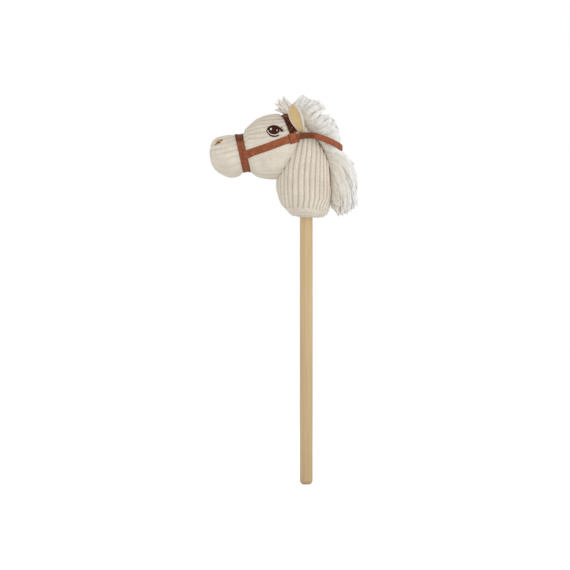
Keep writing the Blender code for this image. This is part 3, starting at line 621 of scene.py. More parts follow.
def new_finish(name, **sockets):
    """A Principled material with values on its own sockets."""
    finish = bpy.data.materials.new(name)
    finish.use_nodes = True
    shader = finish.node_tree.nodes["Principled BSDF"]
    for key, value in sockets.items():
        shader.inputs[key.replace("_", " ")].default_value = value
    return finish, finish.node_tree, shader


def plug(shader, **sources):
    """Links other nodes' outputs into the shader's own sockets."""
    for key, source in sources.items():
        shader.id_data.links.new(source, shader.inputs[key.replace("_", " ")])


def cotton_corduroy(name, colours, grain):
    """Cotton corduroy, a cut pile: matt crests with a soft bloom, and browner grooves, partly the base cloth
    and partly painted shade.
    """
    finish, tree, shader = new_finish(name, Roughness=0.95, Specular_IOR_Level=0.2, Sheen_Weight=0.25)
    place = add_node(tree, "ShaderNodeTexCoord").outputs["Object"]
    relief = add_node(tree, "ShaderNodeAttribute", attribute_name="relief").outputs["Fac"]
    # Pile tufts are 1 mm long and lie along the wale; they are drawn twice as coarse, so that they show
    stretched = add_node(tree, "ShaderNodeVectorMath", {0: place, 1: grain}, operation="MULTIPLY").outputs[0]
    pile = add_node(tree, "ShaderNodeTexNoise", {"Vector": stretched, "Scale": 1.0, "Detail": 3.0})
    cloud = add_node(tree, "ShaderNodeTexNoise", {"Vector": place, "Scale": 1 / 0.024, "Detail": 2.0})
    # Browner the lower the relief: partly the base cloth between the wales, partly painted shade in the
    # grooves
    groove_colour_and_shade = add_node(
        tree, "ShaderNodeMapRange", {"Value": relief, "From Min": 0.8, "From Max": 0.0, "To Max": 0.62}
    )
    cloth = add_node(
        tree,
        "ShaderNodeMix",
        {0: groove_colour_and_shade.outputs[0], 6: (*colours.cream, 1), 7: (*colours.groove, 1)},
        data_type="RGBA",
    )
    rubbed = add_node(
        tree,
        "ShaderNodeMapRange",
        {"Value": cloud.outputs[0], "From Min": 0.35, "From Max": 0.75, "To Max": 0.16},
    )
    toned = add_node(
        tree,
        "ShaderNodeMix",
        {0: rubbed.outputs[0], 6: cloth.outputs[2], 7: (*colours.groove, 1)},
        data_type="RGBA",
    )
    flecks = add_node(
        tree,
        "ShaderNodeMapRange",
        {"Value": pile.outputs[0], "From Min": 0.3, "From Max": 0.7, "To Min": 0.86, "To Max": 1.08},
    )
    final = add_node(
        tree, "ShaderNodeVectorMath", {0: toned.outputs[2], 3: flecks.outputs[0]}, operation="SCALE"
    )
    bump = add_node(tree, "ShaderNodeBump", {"Height": pile.outputs[0], "Strength": 0.6, "Distance": 0.0003})
    plug(shader, Base_Color=final.outputs[0], Normal=bump.outputs[0])
    return finish


def wool_felt(colours):
    """Wool felt, pressed: a dense matt mat of crossing fibres with faint lighter hairs."""
    finish, tree, shader = new_finish(
        "tan wool felt", Roughness=0.9, Specular_IOR_Level=0.2, Sheen_Weight=0.2
    )
    place = add_node(tree, "ShaderNodeTexCoord").outputs["Object"]
    # Fibres about 0.5 mm apart in view
    fibres = add_node(
        tree, "ShaderNodeTexNoise", {"Vector": place, "Scale": 1 / 0.0008, "Detail": 4.0, "Distortion": 1.5}
    )
    cloud = add_node(tree, "ShaderNodeTexNoise", {"Vector": place, "Scale": 1 / 0.009})
    light = add_node(
        tree,
        "ShaderNodeMapRange",
        {"Value": fibres.outputs[0], "From Min": 0.3, "From Max": 0.7, "To Min": 0.88, "To Max": 1.1},
    )
    patch_light = add_node(
        tree,
        "ShaderNodeMapRange",
        {"Value": cloud.outputs[0], "From Min": 0.3, "From Max": 0.7, "To Min": 0.95, "To Max": 1.04},
    )
    amount = add_node(
        tree, "ShaderNodeMath", {0: light.outputs[0], 1: patch_light.outputs[0]}, operation="MULTIPLY"
    )
    final = add_node(
        tree, "ShaderNodeVectorMath", {0: tuple(colours.felt), 3: amount.outputs[0]}, operation="SCALE"
    )
    bump = add_node(
        tree, "ShaderNodeBump", {"Height": fibres.outputs[0], "Strength": 0.5, "Distance": 0.0003}
    )
    plug(shader, Base_Color=final.outputs[0], Normal=bump.outputs[0])
    return finish


def split_leather(colours):
    """Split leather, dyed and finished: pebbled grain, rubbed lighter in places, with dark dyed edges, and
    dark speckles where the shade attribute asks: a pattern on the straps, painted shade on the browband, the
    noseband's top and the loop's edges.
    """
    finish, tree, shader = new_finish("brown split leather", Specular_IOR_Level=0.1)
    place = add_node(tree, "ShaderNodeTexCoord").outputs["Object"]
    across = add_node(tree, "ShaderNodeAttribute", attribute_name="across").outputs["Fac"]
    shade = add_node(tree, "ShaderNodeAttribute", attribute_name="shade").outputs["Fac"]
    tone = add_node(tree, "ShaderNodeAttribute", attribute_name="tone").outputs["Fac"]
    # Pebbles of the grain are about 0.9 mm across
    grain = add_node(tree, "ShaderNodeTexVoronoi", {"Vector": place, "Scale": 1 / 0.0009})
    rub = add_node(
        tree, "ShaderNodeTexNoise", {"Vector": place, "Scale": 1 / 0.006, "Detail": 4.0, "Roughness": 0.65}
    )
    rubbed = add_node(
        tree, "ShaderNodeMapRange", {"Value": rub.outputs[0], "From Min": 0.4, "From Max": 0.68}
    )
    body = add_node(
        tree,
        "ShaderNodeMix",
        {0: rubbed.outputs[0], 6: (*colours.leather, 1), 7: (*colours.leather_light, 1)},
        data_type="RGBA",
    )
    # Dark speckles, as many as the shade attribute asks for: a pattern on the straps, and painted shade on
    # the browband, the noseband's top and the loop's edges
    mottle = add_node(
        tree, "ShaderNodeTexNoise", {"Vector": place, "Scale": 1 / 0.0026, "Detail": 1.0, "Roughness": 0.5}
    )
    speckled = add_node(
        tree, "ShaderNodeMapRange", {"Value": mottle.outputs[0], "From Min": 0.64, "From Max": 0.58}
    )
    dark = add_node(tree, "ShaderNodeMath", {0: speckled.outputs[0], 1: shade}, operation="MULTIPLY")
    mixed = add_node(
        tree,
        "ShaderNodeMix",
        {0: dark.outputs[0], 6: body.outputs[2], 7: (*colours.leather_dark, 1)},
        data_type="RGBA",
    )
    side = add_node(tree, "ShaderNodeMath", {0: across}, operation="ABSOLUTE")
    rim = add_node(
        tree,
        "ShaderNodeMapRange",
        {"Value": side.outputs[0], "From Min": 0.9, "From Max": 1.0, "To Max": 0.35},
    )
    final = add_node(
        tree,
        "ShaderNodeMix",
        {0: rim.outputs[0], 6: mixed.outputs[2], 7: (*colours.leather_dark, 1)},
        data_type="RGBA",
    )
    gloss = add_node(tree, "ShaderNodeMapRange", {"Value": rub.outputs[0], "To Min": 0.7, "To Max": 0.5})
    crease = add_node(tree, "ShaderNodeMath", {0: side.outputs[0], 1: 0.8, 2: 0.025}, operation="COMPARE")
    height = add_node(
        tree,
        "ShaderNodeMath",
        {0: crease.outputs[0], 1: -1.5, 2: grain.outputs["Distance"]},
        operation="MULTIPLY_ADD",
    )
    bump = add_node(
        tree, "ShaderNodeBump", {"Height": height.outputs[0], "Strength": 0.45, "Distance": 0.00018}
    )
    toned = add_node(tree, "ShaderNodeVectorMath", {0: final.outputs[2], 3: tone}, operation="SCALE")
    plug(shader, Base_Color=toned.outputs[0], Roughness=gloss.outputs[0], Normal=bump.outputs[0])
    return finish


def rayon_thread(name, code):
    """Rayon thread, sewn as satin stitch: parallel shiny threads about 0.45 mm apart."""
    finish, tree, shader = new_finish(name, Roughness=0.5, Specular_IOR_Level=0.12)
    stitch = add_node(tree, "ShaderNodeAttribute", attribute_name="along").outputs["Fac"]
    place = add_node(tree, "ShaderNodeTexCoord").outputs["Object"]
    uneven = add_node(tree, "ShaderNodeTexNoise", {"Vector": place, "Scale": 1 / 0.0018, "Detail": 2.0})
    turns = add_node(
        tree, "ShaderNodeMath", {0: stitch, 1: 2 * pi / 0.45, 2: uneven.outputs[0]}, operation="MULTIPLY_ADD"
    )
    # Each thread is painted lighter on its crest and darker at its sides: painted light and shade that follow
    # its bump
    thread = add_node(tree, "ShaderNodeMath", {0: turns.outputs[0]}, operation="SINE")
    light = add_node(
        tree,
        "ShaderNodeMapRange",
        {"Value": thread.outputs[0], "From Min": -1.0, "To Min": 0.7, "To Max": 1.15},
    )
    final = add_node(tree, "ShaderNodeVectorMath", {0: tuple(code), 3: light.outputs[0]}, operation="SCALE")
    bump = add_node(
        tree, "ShaderNodeBump", {"Height": thread.outputs[0], "Strength": 0.6, "Distance": 0.0001}
    )
    plug(shader, Base_Color=final.outputs[0], Normal=bump.outputs[0])
    return finish


def acrylic_fur(name, colours):
    """Acrylic fur, a long brushed pile: each strand goes from a brownish root to a pale end. The root and
    warm tints are partly the fur's own beige and partly painted shade at the roots and in the valley beside
    the neck.
    """
    finish, tree, shader = new_finish(name, Roughness=0.6, Specular_IOR_Level=0.25, Sheen_Weight=0.15)
    share = add_node(tree, "ShaderNodeAttribute", attribute_name="share").outputs["Fac"]
    tone = add_node(tree, "ShaderNodeAttribute", attribute_name="tone").outputs["Fac"]
    grown = add_node(tree, "ShaderNodeMapRange", {"Value": share, "From Min": 0.0, "From Max": 0.2})
    body = add_node(
        tree,
        "ShaderNodeMix",
        {0: grown.outputs[0], 6: (*colours.fur_root, 1), 7: (*colours.fur, 1)},
        data_type="RGBA",
    )
    ended = add_node(tree, "ShaderNodeMapRange", {"Value": share, "From Min": 0.5, "From Max": 1.0})
    tipped = add_node(
        tree,
        "ShaderNodeMix",
        {0: ended.outputs[0], 6: body.outputs[2], 7: (*colours.fur_tip, 1)},
        data_type="RGBA",
    )
    # Warm beige tint, strongest beside the neck and low in the mane: partly the fur's own colour, partly
    # painted shade
    warm = add_node(tree, "ShaderNodeAttribute", attribute_name="warm").outputs["Fac"]
    tinted = add_node(
        tree, "ShaderNodeMix", {0: warm, 6: tipped.outputs[2], 7: (*colours.fur_root, 1)}, data_type="RGBA"
    )
    final = add_node(tree, "ShaderNodeVectorMath", {0: tinted.outputs[2], 3: tone}, operation="SCALE")
    plug(shader, Base_Color=final.outputs[0])
    return finish


def lacquered_beech(colours):
    """Beech, turned and clear-lacquered: fine grain along the stick, short dark flecks, a low satin gloss."""
    finish, tree, shader = new_finish("lacquered beech", Coat_Weight=0.12, Coat_Roughness=0.3)
    place = add_node(tree, "ShaderNodeTexCoord").outputs["Object"]
    # Growth rings show as bands about 2.5 mm wide that run for decimetres; flecks are 0.5 mm by 5 mm
    bands_place = add_node(
        tree, "ShaderNodeVectorMath", {0: place, 1: (400, 400, 5)}, operation="MULTIPLY"
    ).outputs[0]
    bands = add_node(
        tree, "ShaderNodeTexNoise", {"Vector": bands_place, "Scale": 1.0, "Detail": 3.0, "Distortion": 0.6}
    )
    fleck_place = add_node(
        tree, "ShaderNodeVectorMath", {0: place, 1: (1900, 1900, 200)}, operation="MULTIPLY"
    ).outputs[0]
    flecks = add_node(tree, "ShaderNodeTexNoise", {"Vector": fleck_place, "Scale": 1.0, "Detail": 2.0})
    grain = add_node(
        tree, "ShaderNodeMapRange", {"Value": bands.outputs[0], "From Min": 0.35, "From Max": 0.7}
    )
    wood = add_node(
        tree,
        "ShaderNodeMix",
        {0: grain.outputs[0], 6: (*colours.beech, 1), 7: (*colours.beech_dark, 1)},
        data_type="RGBA",
    )
    light = add_node(
        tree,
        "ShaderNodeMapRange",
        {"Value": flecks.outputs[0], "From Min": 0.62, "From Max": 0.8, "To Min": 1.0, "To Max": 0.86},
    )
    # The wood is a little darker towards the foot
    height = add_node(tree, "ShaderNodeSeparateXYZ", {"Vector": place}).outputs["Z"]
    toning = add_node(
        tree, "ShaderNodeMapRange", {"Value": height, "From Max": 0.36, "To Min": 0.87, "To Max": 1.0}
    )
    amount = add_node(tree, "ShaderNodeMath", {0: light.outputs[0], 1: toning.outputs[0]}, operation="MULTIPLY")
    final = add_node(
        tree, "ShaderNodeVectorMath", {0: wood.outputs[2], 3: amount.outputs[0]}, operation="SCALE"
    )
    gloss = add_node(tree, "ShaderNodeMapRange", {"Value": bands.outputs[0], "To Min": 0.4, "To Max": 0.55})
    bump = add_node(
        tree, "ShaderNodeBump", {"Height": flecks.outputs[0], "Strength": 0.15, "Distance": 0.0001}
    )
    plug(shader, Base_Color=final.outputs[0], Roughness=gloss.outputs[0], Normal=bump.outputs[0])
    return finish


def woven_cotton(name, colours):
    """Cotton, plain-woven: a matt grid of threads 0.8 mm apart."""
    finish, tree, shader = new_finish(name, Roughness=0.9, Specular_IOR_Level=0.2)
    place = add_node(tree, "ShaderNodeTexCoord").outputs["Object"]
    weave = add_node(tree, "ShaderNodeTexChecker", {"Vector": place, "Scale": 1 / 0.0008})
    uneven = add_node(tree, "ShaderNodeTexNoise", {"Vector": place, "Scale": 1 / 0.003})
    light = add_node(tree, "ShaderNodeMapRange", {"Value": uneven.outputs[0], "To Min": 0.85, "To Max": 1.1})
    final = add_node(
        tree, "ShaderNodeVectorMath", {0: tuple(colours.cotton), 3: light.outputs[0]}, operation="SCALE"
    )
    bump = add_node(
        tree, "ShaderNodeBump", {"Height": weave.outputs["Fac"], "Strength": 0.3, "Distance": 0.0002}
    )
    plug(shader, Base_Color=final.outputs[0], Normal=bump.outputs[0])
    return finish


def polyester_filling():
    """Polyester fibre filling, carded: a white cloud of crimped fibres."""
    finish, tree, shader = new_finish("polyester filling", Roughness=1.0, Sheen_Weight=0.3)
    place = add_node(tree, "ShaderNodeTexCoord").outputs["Object"]
    fibres = add_node(
        tree, "ShaderNodeTexNoise", {"Vector": place, "Scale": 1 / 0.002, "Detail": 5.0, "Distortion": 2.0}
    )
    light = add_node(tree, "ShaderNodeMapRange", {"Value": fibres.outputs[0], "To Min": 0.7, "To Max": 0.95})
    final = add_node(tree, "ShaderNodeVectorMath", {0: (1, 1, 0.98), 3: light.outputs[0]}, operation="SCALE")
    bump = add_node(tree, "ShaderNodeBump", {"Height": fibres.outputs[0], "Strength": 0.8, "Distance": 0.001})
    plug(shader, Base_Color=final.outputs[0], Normal=bump.outputs[0])
    return finish


def sawn_plywood():
    """Birch plywood, sawn: pale veneers with darker glue lines at the edge, seen as layers 1.5 mm thick."""
    finish, tree, shader = new_finish("sawn birch plywood", Roughness=0.65)
    place = add_node(tree, "ShaderNodeTexCoord").outputs["Object"]
    layers = add_node(
        tree, "ShaderNodeVectorMath", {0: place, 1: (30, 200, 700)}, operation="MULTIPLY"
    ).outputs[0]
    grain = add_node(tree, "ShaderNodeTexNoise", {"Vector": layers, "Scale": 1.0, "Detail": 3.0})
    wood = add_node(
        tree,
        "ShaderNodeMix",
        {0: grain.outputs[0], 6: (*linear("#d9c29a"), 1), 7: (*linear("#b3935f"), 1)},
        data_type="RGBA",
    )
    plug(shader, Base_Color=wood.outputs[2])
    return finish


def plated_steel():
    """Steel screw, zinc-plated: bright metal, a little uneven from the bath."""
    finish, tree, shader = new_finish("zinc-plated steel", Metallic=1.0, Base_Color=(*linear("#b9babd"), 1))
    place = add_node(tree, "ShaderNodeTexCoord").outputs["Object"]
    bath = add_node(tree, "ShaderNodeTexNoise", {"Vector": place, "Scale": 1 / 0.002, "Detail": 2.0})
    gloss = add_node(tree, "ShaderNodeMapRange", {"Value": bath.outputs[0], "To Min": 0.25, "To Max": 0.45})
    plug(shader, Roughness=gloss.outputs[0])
    return finish


# The stuffed head and neck
def face_relief(grid, pitch, depth):
    """Depth of the face's grooves, and the share of each point's height between groove and crest."""
    run = run_along(grid, 1)
    middle = grid.shape[1] // 2
    up = run[:, middle : middle + 1] - run
    lower = run[:, -1:] - run[:, middle : middle + 1]
    share = np.clip(-up / np.maximum(lower, 1e-6), 0, 1)
    x, z = grid[:, middle : middle + 1, 0], grid[:, middle : middle + 1, 2]
    cheek = ease(-122, -112, grid[..., 0])
    level = z - 653.9 - 0.08 * (x + 100)
    phase = np.where(up >= 0, (level + up) / pitch, level / pitch * (1 - share) - 7.0 * share)
    # The muzzle's wales are wider, and rise to the rear
    level = z - 652.2 - 0.25 * (x + 130)
    long = np.where(
        up >= 0, (level + up) / (pitch * 1.13), level / (pitch * 1.13) * (1 - share) - 4.5 * share
    )
    phase = np.where(grid[..., 0] < MUZZLE_END, long, phase) + 0.17 * soft_noise(grid, 22.0)
    upper_cheek = 0.12 + 0.62 * ease(9, 25, up) + 0.2 * ease(45, 65, up)
    lower_cheek = 0.12 + 0.55 * ease(0.4, 0.75, share)
    muzzle = 0.42 + 0.25 * ease(-6, 10, up)
    cheek_strength = np.where(up >= 0, upper_cheek, np.maximum(lower_cheek, upper_cheek * (1 - share)))
    strength = cheek * cheek_strength + (1 - cheek) * muzzle
    strength *= 1 + 0.4 * soft_noise(grid + 400, 16.0)
    rib = 1 - (1 - wale(phase, 1.15)) * strength
    behind_ear = ease(-13, -9, grid[..., 0]) * ease(679, 683, grid[..., 2])
    rib = rib * (1 - behind_ear) + wale((grid[..., 0] + 1.5) / TOP_WALE) * behind_ear
    return depth * (1 - rib), rib, run


def seam_dip(run):
    """How far the cloth is drawn in beside the seams at both ends of each row, with a pucker every 5 mm."""
    near = np.minimum(run, run[:, -1:] - run)
    along = np.arange(len(run))[:, None]
    return 1.1 * np.exp(-((near / 1.6) ** 2)) + 0.25 * np.exp(-((near / 5) ** 2)) * (1 + np.sin(along * 1.3))


def brow_dent(points):
    """Where the browband's front edge is pulled into the forehead: 1 on the crown, 0 at the sides."""
    return (1 - ease(10, 36, np.abs(points[..., 1]))) * (points[..., 2] > 690)


def nose_dent(points):
    """Where the noseband's rear edge is pulled into the top of the muzzle: 1 on top, 0 at the sides."""
    return (1 - ease(10, 34, np.abs(points[..., 1]))) * (points[..., 2] > 660)


def add_face(sizes, finish):
    """The face's panel on the left: muzzle, cheek and brow, with wales along the head."""
    grid = form_grid(HEAD_SECTIONS, 10, np.linspace(0, pi, 181))
    normals = outward(grid)
    groove, rib, run = face_relief(grid, sizes.face_wale_pitch / MM, sizes.face_wale_depth / MM)
    creases = np.zeros(grid.shape[:2])
    # Small creases where the cheek meets the neck: x, z, half width, half height, depth
    for x, z, wide, high, depth in (
        (-36.0, 651.0, 1.6, 5.0, 1.3),
        (-41.0, 645.0, 1.3, 4.0, 1.0),
        (-33.5, 641.0, 1.4, 4.5, 1.1),
        (-47.0, 655.0, 4.0, 1.4, 0.7),
        (-52.0, 612.0, 5.0, 1.6, 0.9),
    ):
        creases += depth * np.exp(-(((grid[..., 0] - x) / wide) ** 2) - ((grid[..., 2] - z) / high) ** 2)
    creases += brow_dent(grid) * 5.5 * np.exp(-(((grid[..., 0] + 46) / 5.6) ** 2))
    creases += nose_dent(grid) * 4.2 * np.exp(-(((grid[..., 0] + 127) / 4.5) ** 2))
    pole = ease(0, 12, np.minimum(np.arange(len(grid)), np.arange(len(grid))[::-1]))[:, None]
    lumps = 0.5 * soft_noise(grid, 30.0) + 0.12 * soft_noise(grid, 6.0)
    move = (groove + creases - lumps) * pole + seam_dip(run) * pole
    face = grid_object("face_cloth_left", grid - normals * move[..., None], finish, values={"relief": rib})
    trim_inside(face, "neck", 2.5)
    thicken(face, sizes.cloth_thickness)
    return face


def neck_phase(grid):
    """Which wale each point of the neck's left side is on: the cloth's grooves have whole numbers."""
    table = np.array(NECK_GROOVES)
    phase = np.empty(grid.shape[:2])
    for row, points in enumerate(grid):
        level = -points[:, 2]
        grooves = np.array([np.interp(level, -table[:, 0], column) for column in table.T[1:]])
        middle, half = (points[:, 0].min() + points[:, 0].max()) / 2, max(np.ptp(points[:, 0]) / 2, 0.01)
        around = np.arccos(np.clip((points[:, 0] - middle) / half, -1, 1))
        ends = np.arccos(np.clip((grooves[[0, -1]] - middle) / half, -1, 1))
        count = len(grooves) - 1
        inside = [np.interp(x, column, np.arange(count + 1)) for x, column in zip(points[:, 0], grooves.T)]
        before = np.minimum(ends[0] - around, 0) * NECK_WALES / (2 * pi)
        behind = np.maximum(ends[1] - around, 0) * NECK_WALES / (2 * pi)
        phase[row] = np.array(inside) + before + behind
    return phase


def add_neck(sizes, finish):
    """The neck's panel on the left, with upright wales, and its share of the gathered underside."""
    angles = np.linspace(pi, 0, 16 * 14 + 1)
    grid = form_grid(NECK_SECTIONS, 12, angles)
    normals = outward(grid)
    height = grid[..., 2]
    run = run_along(grid, 1)
    phase = neck_phase(grid) + 0.05 * soft_noise(grid * (1, 1, 0.3), 18.0)
    drop = 5.0 * ease(8, 36, grid[..., 0])
    panel = ease(BASE_TOP - 1, BASE_TOP + 4, height + drop - 2.2 * wale(phase) + soft_noise(grid, 7.0))
    depth = sizes.neck_wale_depth / MM * (1 + 0.2 * soft_noise(grid, 14.0))
    groove = depth * (1 - wale(phase, 1.05))
    ends = np.exp(-(((height + drop - BASE_TOP - 1.5) / 1.9) ** 2)) * (1 - wale(phase) * 0.75)
    gather = 0.9 * (1 - wale((height - 0.12 * grid[..., 0]) / 4.6 + 0.5 * soft_noise(grid, 11.0), 1.2))
    reach = np.hypot(grid[..., 0], grid[..., 1])
    around = np.arctan2(grid[..., 1], grid[..., 0])
    pleats = 0.9 * (1 - wale(around * 26 / (2 * pi))) * (1 - ease(16, 34, reach)) * (height < 530)
    lumps = 0.5 * soft_noise(grid, 32.0) + (0.1 + 0.5 * (1 - panel)) * soft_noise(grid, 5.0)
    pole = 1 - ease(len(grid) - 7, len(grid) - 2, np.arange(len(grid)))[:, None]
    move = (groove * panel + gather * (1 - panel) + pleats + 1.3 * ends - lumps) * pole + seam_dip(run)
    move *= ease(13, 18, reach)
    # Lowering the relief in the dimples at the wales' ends and in the gathers' folds paints shade there, on
    # top of their dents
    rib = np.where(panel > 0.5, wale(phase), 1 - 0.5 * gather) * (1 - 0.4 * ends)
    moved = grid - normals * move[..., None]
    moved[..., 2] += 2.4 * (1 - ease(16, 34, reach)) * (height < 525)
    split = int(np.argmin(np.abs(grid[:, grid.shape[1] // 2, 2] - BASE_SEAM)))
    neck = grid_object("neck_cloth_left", moved[split:], finish, values={"relief": rib[split:]})
    trim_inside(neck, "head", 2.5)
    thicken(neck, sizes.cloth_thickness)
    return neck, moved[: split + 1], rib[: split + 1]


def add_base(sizes, points, rib, finish):
    """The gathered panel under the neck, whole, with a round opening for the stick."""
    opening = sizes.stick_radius / MM + 0.4
    first = int(np.argmax(np.abs(points[:, points.shape[1] // 2, 1]) > opening + 1.5))
    kept = points[first:].copy()
    flat = kept[0, :, :2]
    kept[0, :, :2] = flat / np.linalg.norm(flat, axis=1, keepdims=True) * opening
    lip = kept[:1].copy()
    lip[..., 2] -= 1.6
    half = np.concatenate([lip, kept])
    ribs = np.concatenate([rib[first : first + 1], rib[first:]])
    other = half[:, -2:0:-1] * (1, -1, 1)
    grid = np.concatenate([half, other], axis=1)
    values = {"relief": np.concatenate([ribs, ribs[:, -2:0:-1]], axis=1)}
    base = grid_object("neck_base_cloth", grid, finish, wrap_columns=True, values=values)
    thicken(base, sizes.cloth_thickness)
    return base


class OBJECT_OT_horse_body(bpy.types.Operator):
    """Make the stuffed corduroy head and neck"""

    bl_idname = "object.horse_body"
    bl_label = "Head and neck"

    def execute(self, context):
        sizes, colours = context.scene.horse_sizes, context.scene.horse_colours
        face_cloth = cotton_corduroy("cream cotton corduroy, lengthwise", colours, (300, 620, 620))
        neck_cloth = cotton_corduroy("cream cotton corduroy, upright", colours, (620, 620, 300))
        pieces = list(fasten_pair(add_face(sizes, face_cloth), "corduroy", "face_panel_left"))
        neck, points, rib = add_neck(sizes, neck_cloth)
        pieces += fasten_pair(neck, "corduroy", "neck_panel_left")
        pieces.append(fasten(add_base(sizes, points, rib, face_cloth), "corduroy", "neck_base_panel"))
        return {"FINISHED"}


class OBJECT_OT_horse_inside(bpy.types.Operator):
    """Make the filling, the stick's sleeve and the fastenings inside the head"""

    bl_idname = "object.horse_inside"
    bl_label = "Inside"

    def execute(self, context):
        colours = context.scene.horse_colours
        filling = polyester_filling()
        angles = np.linspace(0, 2 * pi, 49)[:-1]
        head = form_grid(HEAD_SECTIONS, 3, angles)
        neck = form_grid(NECK_SECTIONS, 3, angles)
        waist = 21
        forms = (
            ("muzzle_filling", head[: waist + 1], "muzzle_stuffing"),
            ("head_filling", head[waist:], "head_stuffing"),
            ("neck_filling", neck, "neck_stuffing"),
        )
        for name, grid, node in forms:
            middle = grid.mean(axis=(0, 1))
            lumpy = middle + (grid - middle) * (0.9 + 0.02 * soft_noise(grid, 12.0))[..., None]
            piece = grid_object(name, lumpy, filling, wrap_columns=True, solid=True)
            fasten(piece, "stuffing", node)
        cloth = woven_cotton("woven cotton", colours)
        heights = np.linspace(SLEEVE_TOP, SLEEVE_FOOT, 60)
        turn = np.linspace(0, 2 * pi, 97)[:-1]
        pleat = 0.35 * np.sin(turn * 18) * (0.4 + np.abs(heights - 545)[:, None] / 60)
        tube = [
            np.stack(
                [(r + pleat) * np.cos(turn), (r + pleat) * np.sin(turn), np.repeat(heights[:, None], 96, 1)],
                -1,
            )
            for r in SLEEVE_RADII
        ]
        sleeve = grid_object(
            "stick_sleeve_cloth",
            np.concatenate([tube[0], tube[1][::-1]]),
            cloth,
            wrap_rows=True,
            wrap_columns=True,
        )
        fasten(sleeve, "cotton", "stick_sleeve")
        wound = np.linspace(0, CORD_TURNS * 2 * pi, 145)
        ring = np.linspace(0, 2 * pi, 9)[:-1]
        out = CORD_REACH + CORD_RADIUS * np.cos(ring)[None, :]
        level = CORD_START + wound[:, None] / (2 * pi) * CORD_SPACING + CORD_RADIUS * np.sin(ring)[None, :]
        cord = np.stack([out * np.cos(wound)[:, None], out * np.sin(wound)[:, None], level], -1)
        tie = grid_object("sleeve_tie_cord", cord, cloth, wrap_columns=True, solid=True)
        fasten(tie, "cord", "sleeve_tie")
        refinish("anchor_disc", sawn_plywood())
        refinish("anchor_screw", plated_steel())
        return {"FINISHED"}


class OBJECT_OT_horse_stick(bpy.types.Operator):
    """Turn the beech stick with its rounded foot"""

    bl_idname = "object.horse_stick"
    bl_label = "Stick"

    def execute(self, context):
        radius = context.scene.horse_sizes.stick_radius / MM
        turn = np.linspace(0, 2 * pi, 97)[:-1]
        bend = np.linspace(0, pi / 2, 12)
        foot = np.stack(
            [FOOT_FLAT + (radius - FOOT_FLAT) * np.sin(bend), FOOT_HEIGHT * (1 - np.cos(bend))], -1
        )
        shaft = np.stack([np.full(40, radius), np.linspace(FOOT_HEIGHT + 0.5, STICK_TOP - 1, 40)], -1)
        profile = np.concatenate([[(0.0, 0.0)], foot, shaft, [(radius - 1, STICK_TOP), (0.0, STICK_TOP)]])
        across, height = profile[:, :1], profile[:, 1:]
        grid = np.stack([across * np.cos(turn), across * np.sin(turn), height + 0 * turn], -1)
        stick = grid_object(
            "beech_stick", grid, lacquered_beech(context.scene.horse_colours), wrap_columns=True, solid=True
        )
        fasten(stick, "stick_wood", "stick")
        return {"FINISHED"}


# Ears
def ear_lanes(scale, span):
    """The ear's cupped leaf from base to tip, and the direction to its opening."""
    opening = np.array(EAR_OPENING)
    side = np.array((-EAR_OPENING[1], EAR_OPENING[0], 0.0))
    rows = smooth_table(EAR_LINE, 8)
    cut = round((1 - scale) / 2 * len(rows))
    rows = rows[cut : len(rows) - cut]
    radius = np.maximum(rows[:, 3] * scale, 0.8)[:, None, None] / sin(EAR_CUP)
    angle = (EAR_CUP * (span[0] + (span[1] - span[0]) * (LANES + 1) / 2))[None, :, None]
    places = rows[:, None, :3] + side * radius * np.sin(angle) + opening * radius * (1 - np.cos(angle))
    normals = opening * np.cos(angle) - side * np.sin(angle) + 0 * radius
    return places, normals


def ear_stitches(places, normals, finish):
    """Whip stitches that hold the lining's rear edge to the left ear."""
    rows = range(6, len(places) - 12, 4)
    turn = np.linspace(0, 2 * pi, 9)[:-1]
    rings = []
    for row in rows:
        over = places[row, -2] + normals[row, -2] * 1.3
        across = (places[row, -1] - places[row, -3]) / np.linalg.norm(places[row, -1] - places[row, -3])
        run = places[row + 1, -2] - places[row - 1, -2]
        run = run / np.linalg.norm(run)
        lean = across + 0.5 * run
        for share in np.linspace(-1, 1, 9):
            thick = 0.42 * np.sqrt(max(1 - share**4, 0.0001))
            middle = over + lean * share * 1.5 - normals[row, -2] * 0.5 * share**2
            rings.append(
                middle + thick * (run * np.cos(turn)[:, None] + normals[row, -2] * np.sin(turn)[:, None])
            )
    grids = np.array(rings).reshape(len(rows), 9, 8, 3)
    pieces = [
        grid_object(f"ear_stitch_{i}", grid, finish, wrap_columns=True, solid=True)
        for i, grid in enumerate(grids)
    ]
    return joined("ear_stitches_left", pieces)


class OBJECT_OT_horse_ears(bpy.types.Operator):
    """Make the cupped ears with their felt linings"""

    bl_idname = "object.horse_ears"
    bl_label = "Ears"

    def execute(self, context):
        colours = context.scene.horse_colours
        cloth = cotton_corduroy("cream cotton corduroy, ears", colours, (620, 620, 300))
        places, normals = ear_lanes(1.0, (-1.0, 1.0))
        roll = 2.6 + 1.7 * np.exp(-(((LANES - 0.86) / 0.2) ** 2))[None, :]
        back = band("ear_cloth_left", places, normals, -2.4, roll, cloth, values={"relief": 1.0})
        fasten_pair(back, "corduroy", "ear_left")
        places, normals = ear_lanes(0.97, (-0.95, 0.57))
        lining = band("ear_felt_left", places, normals, 0.25, 1.0, wool_felt(colours))
        fasten_pair(ear_stitches(places, normals, cloth), "corduroy")
        fasten_pair(lining, "ear_felt", "ear_lining_left")
        return {"FINISHED"}


# Embroidery
def stroke(name, line, widths, height, finish, slot, *nodes):
    """A raised line of satin stitches on the left side, as wide as its widths from end to end."""
    steps = 6
    wide = np.interp(
        np.linspace(0, 1, (len(line) - 1) * steps + 1),
        np.linspace(0, 1, len(widths)),
        np.array(widths, float),
    )
    places, normals = side_lanes(line, wide, steps)
    return fasten_pair(band(name, places, normals, -0.15, height + 0.15, finish), slot, *nodes)


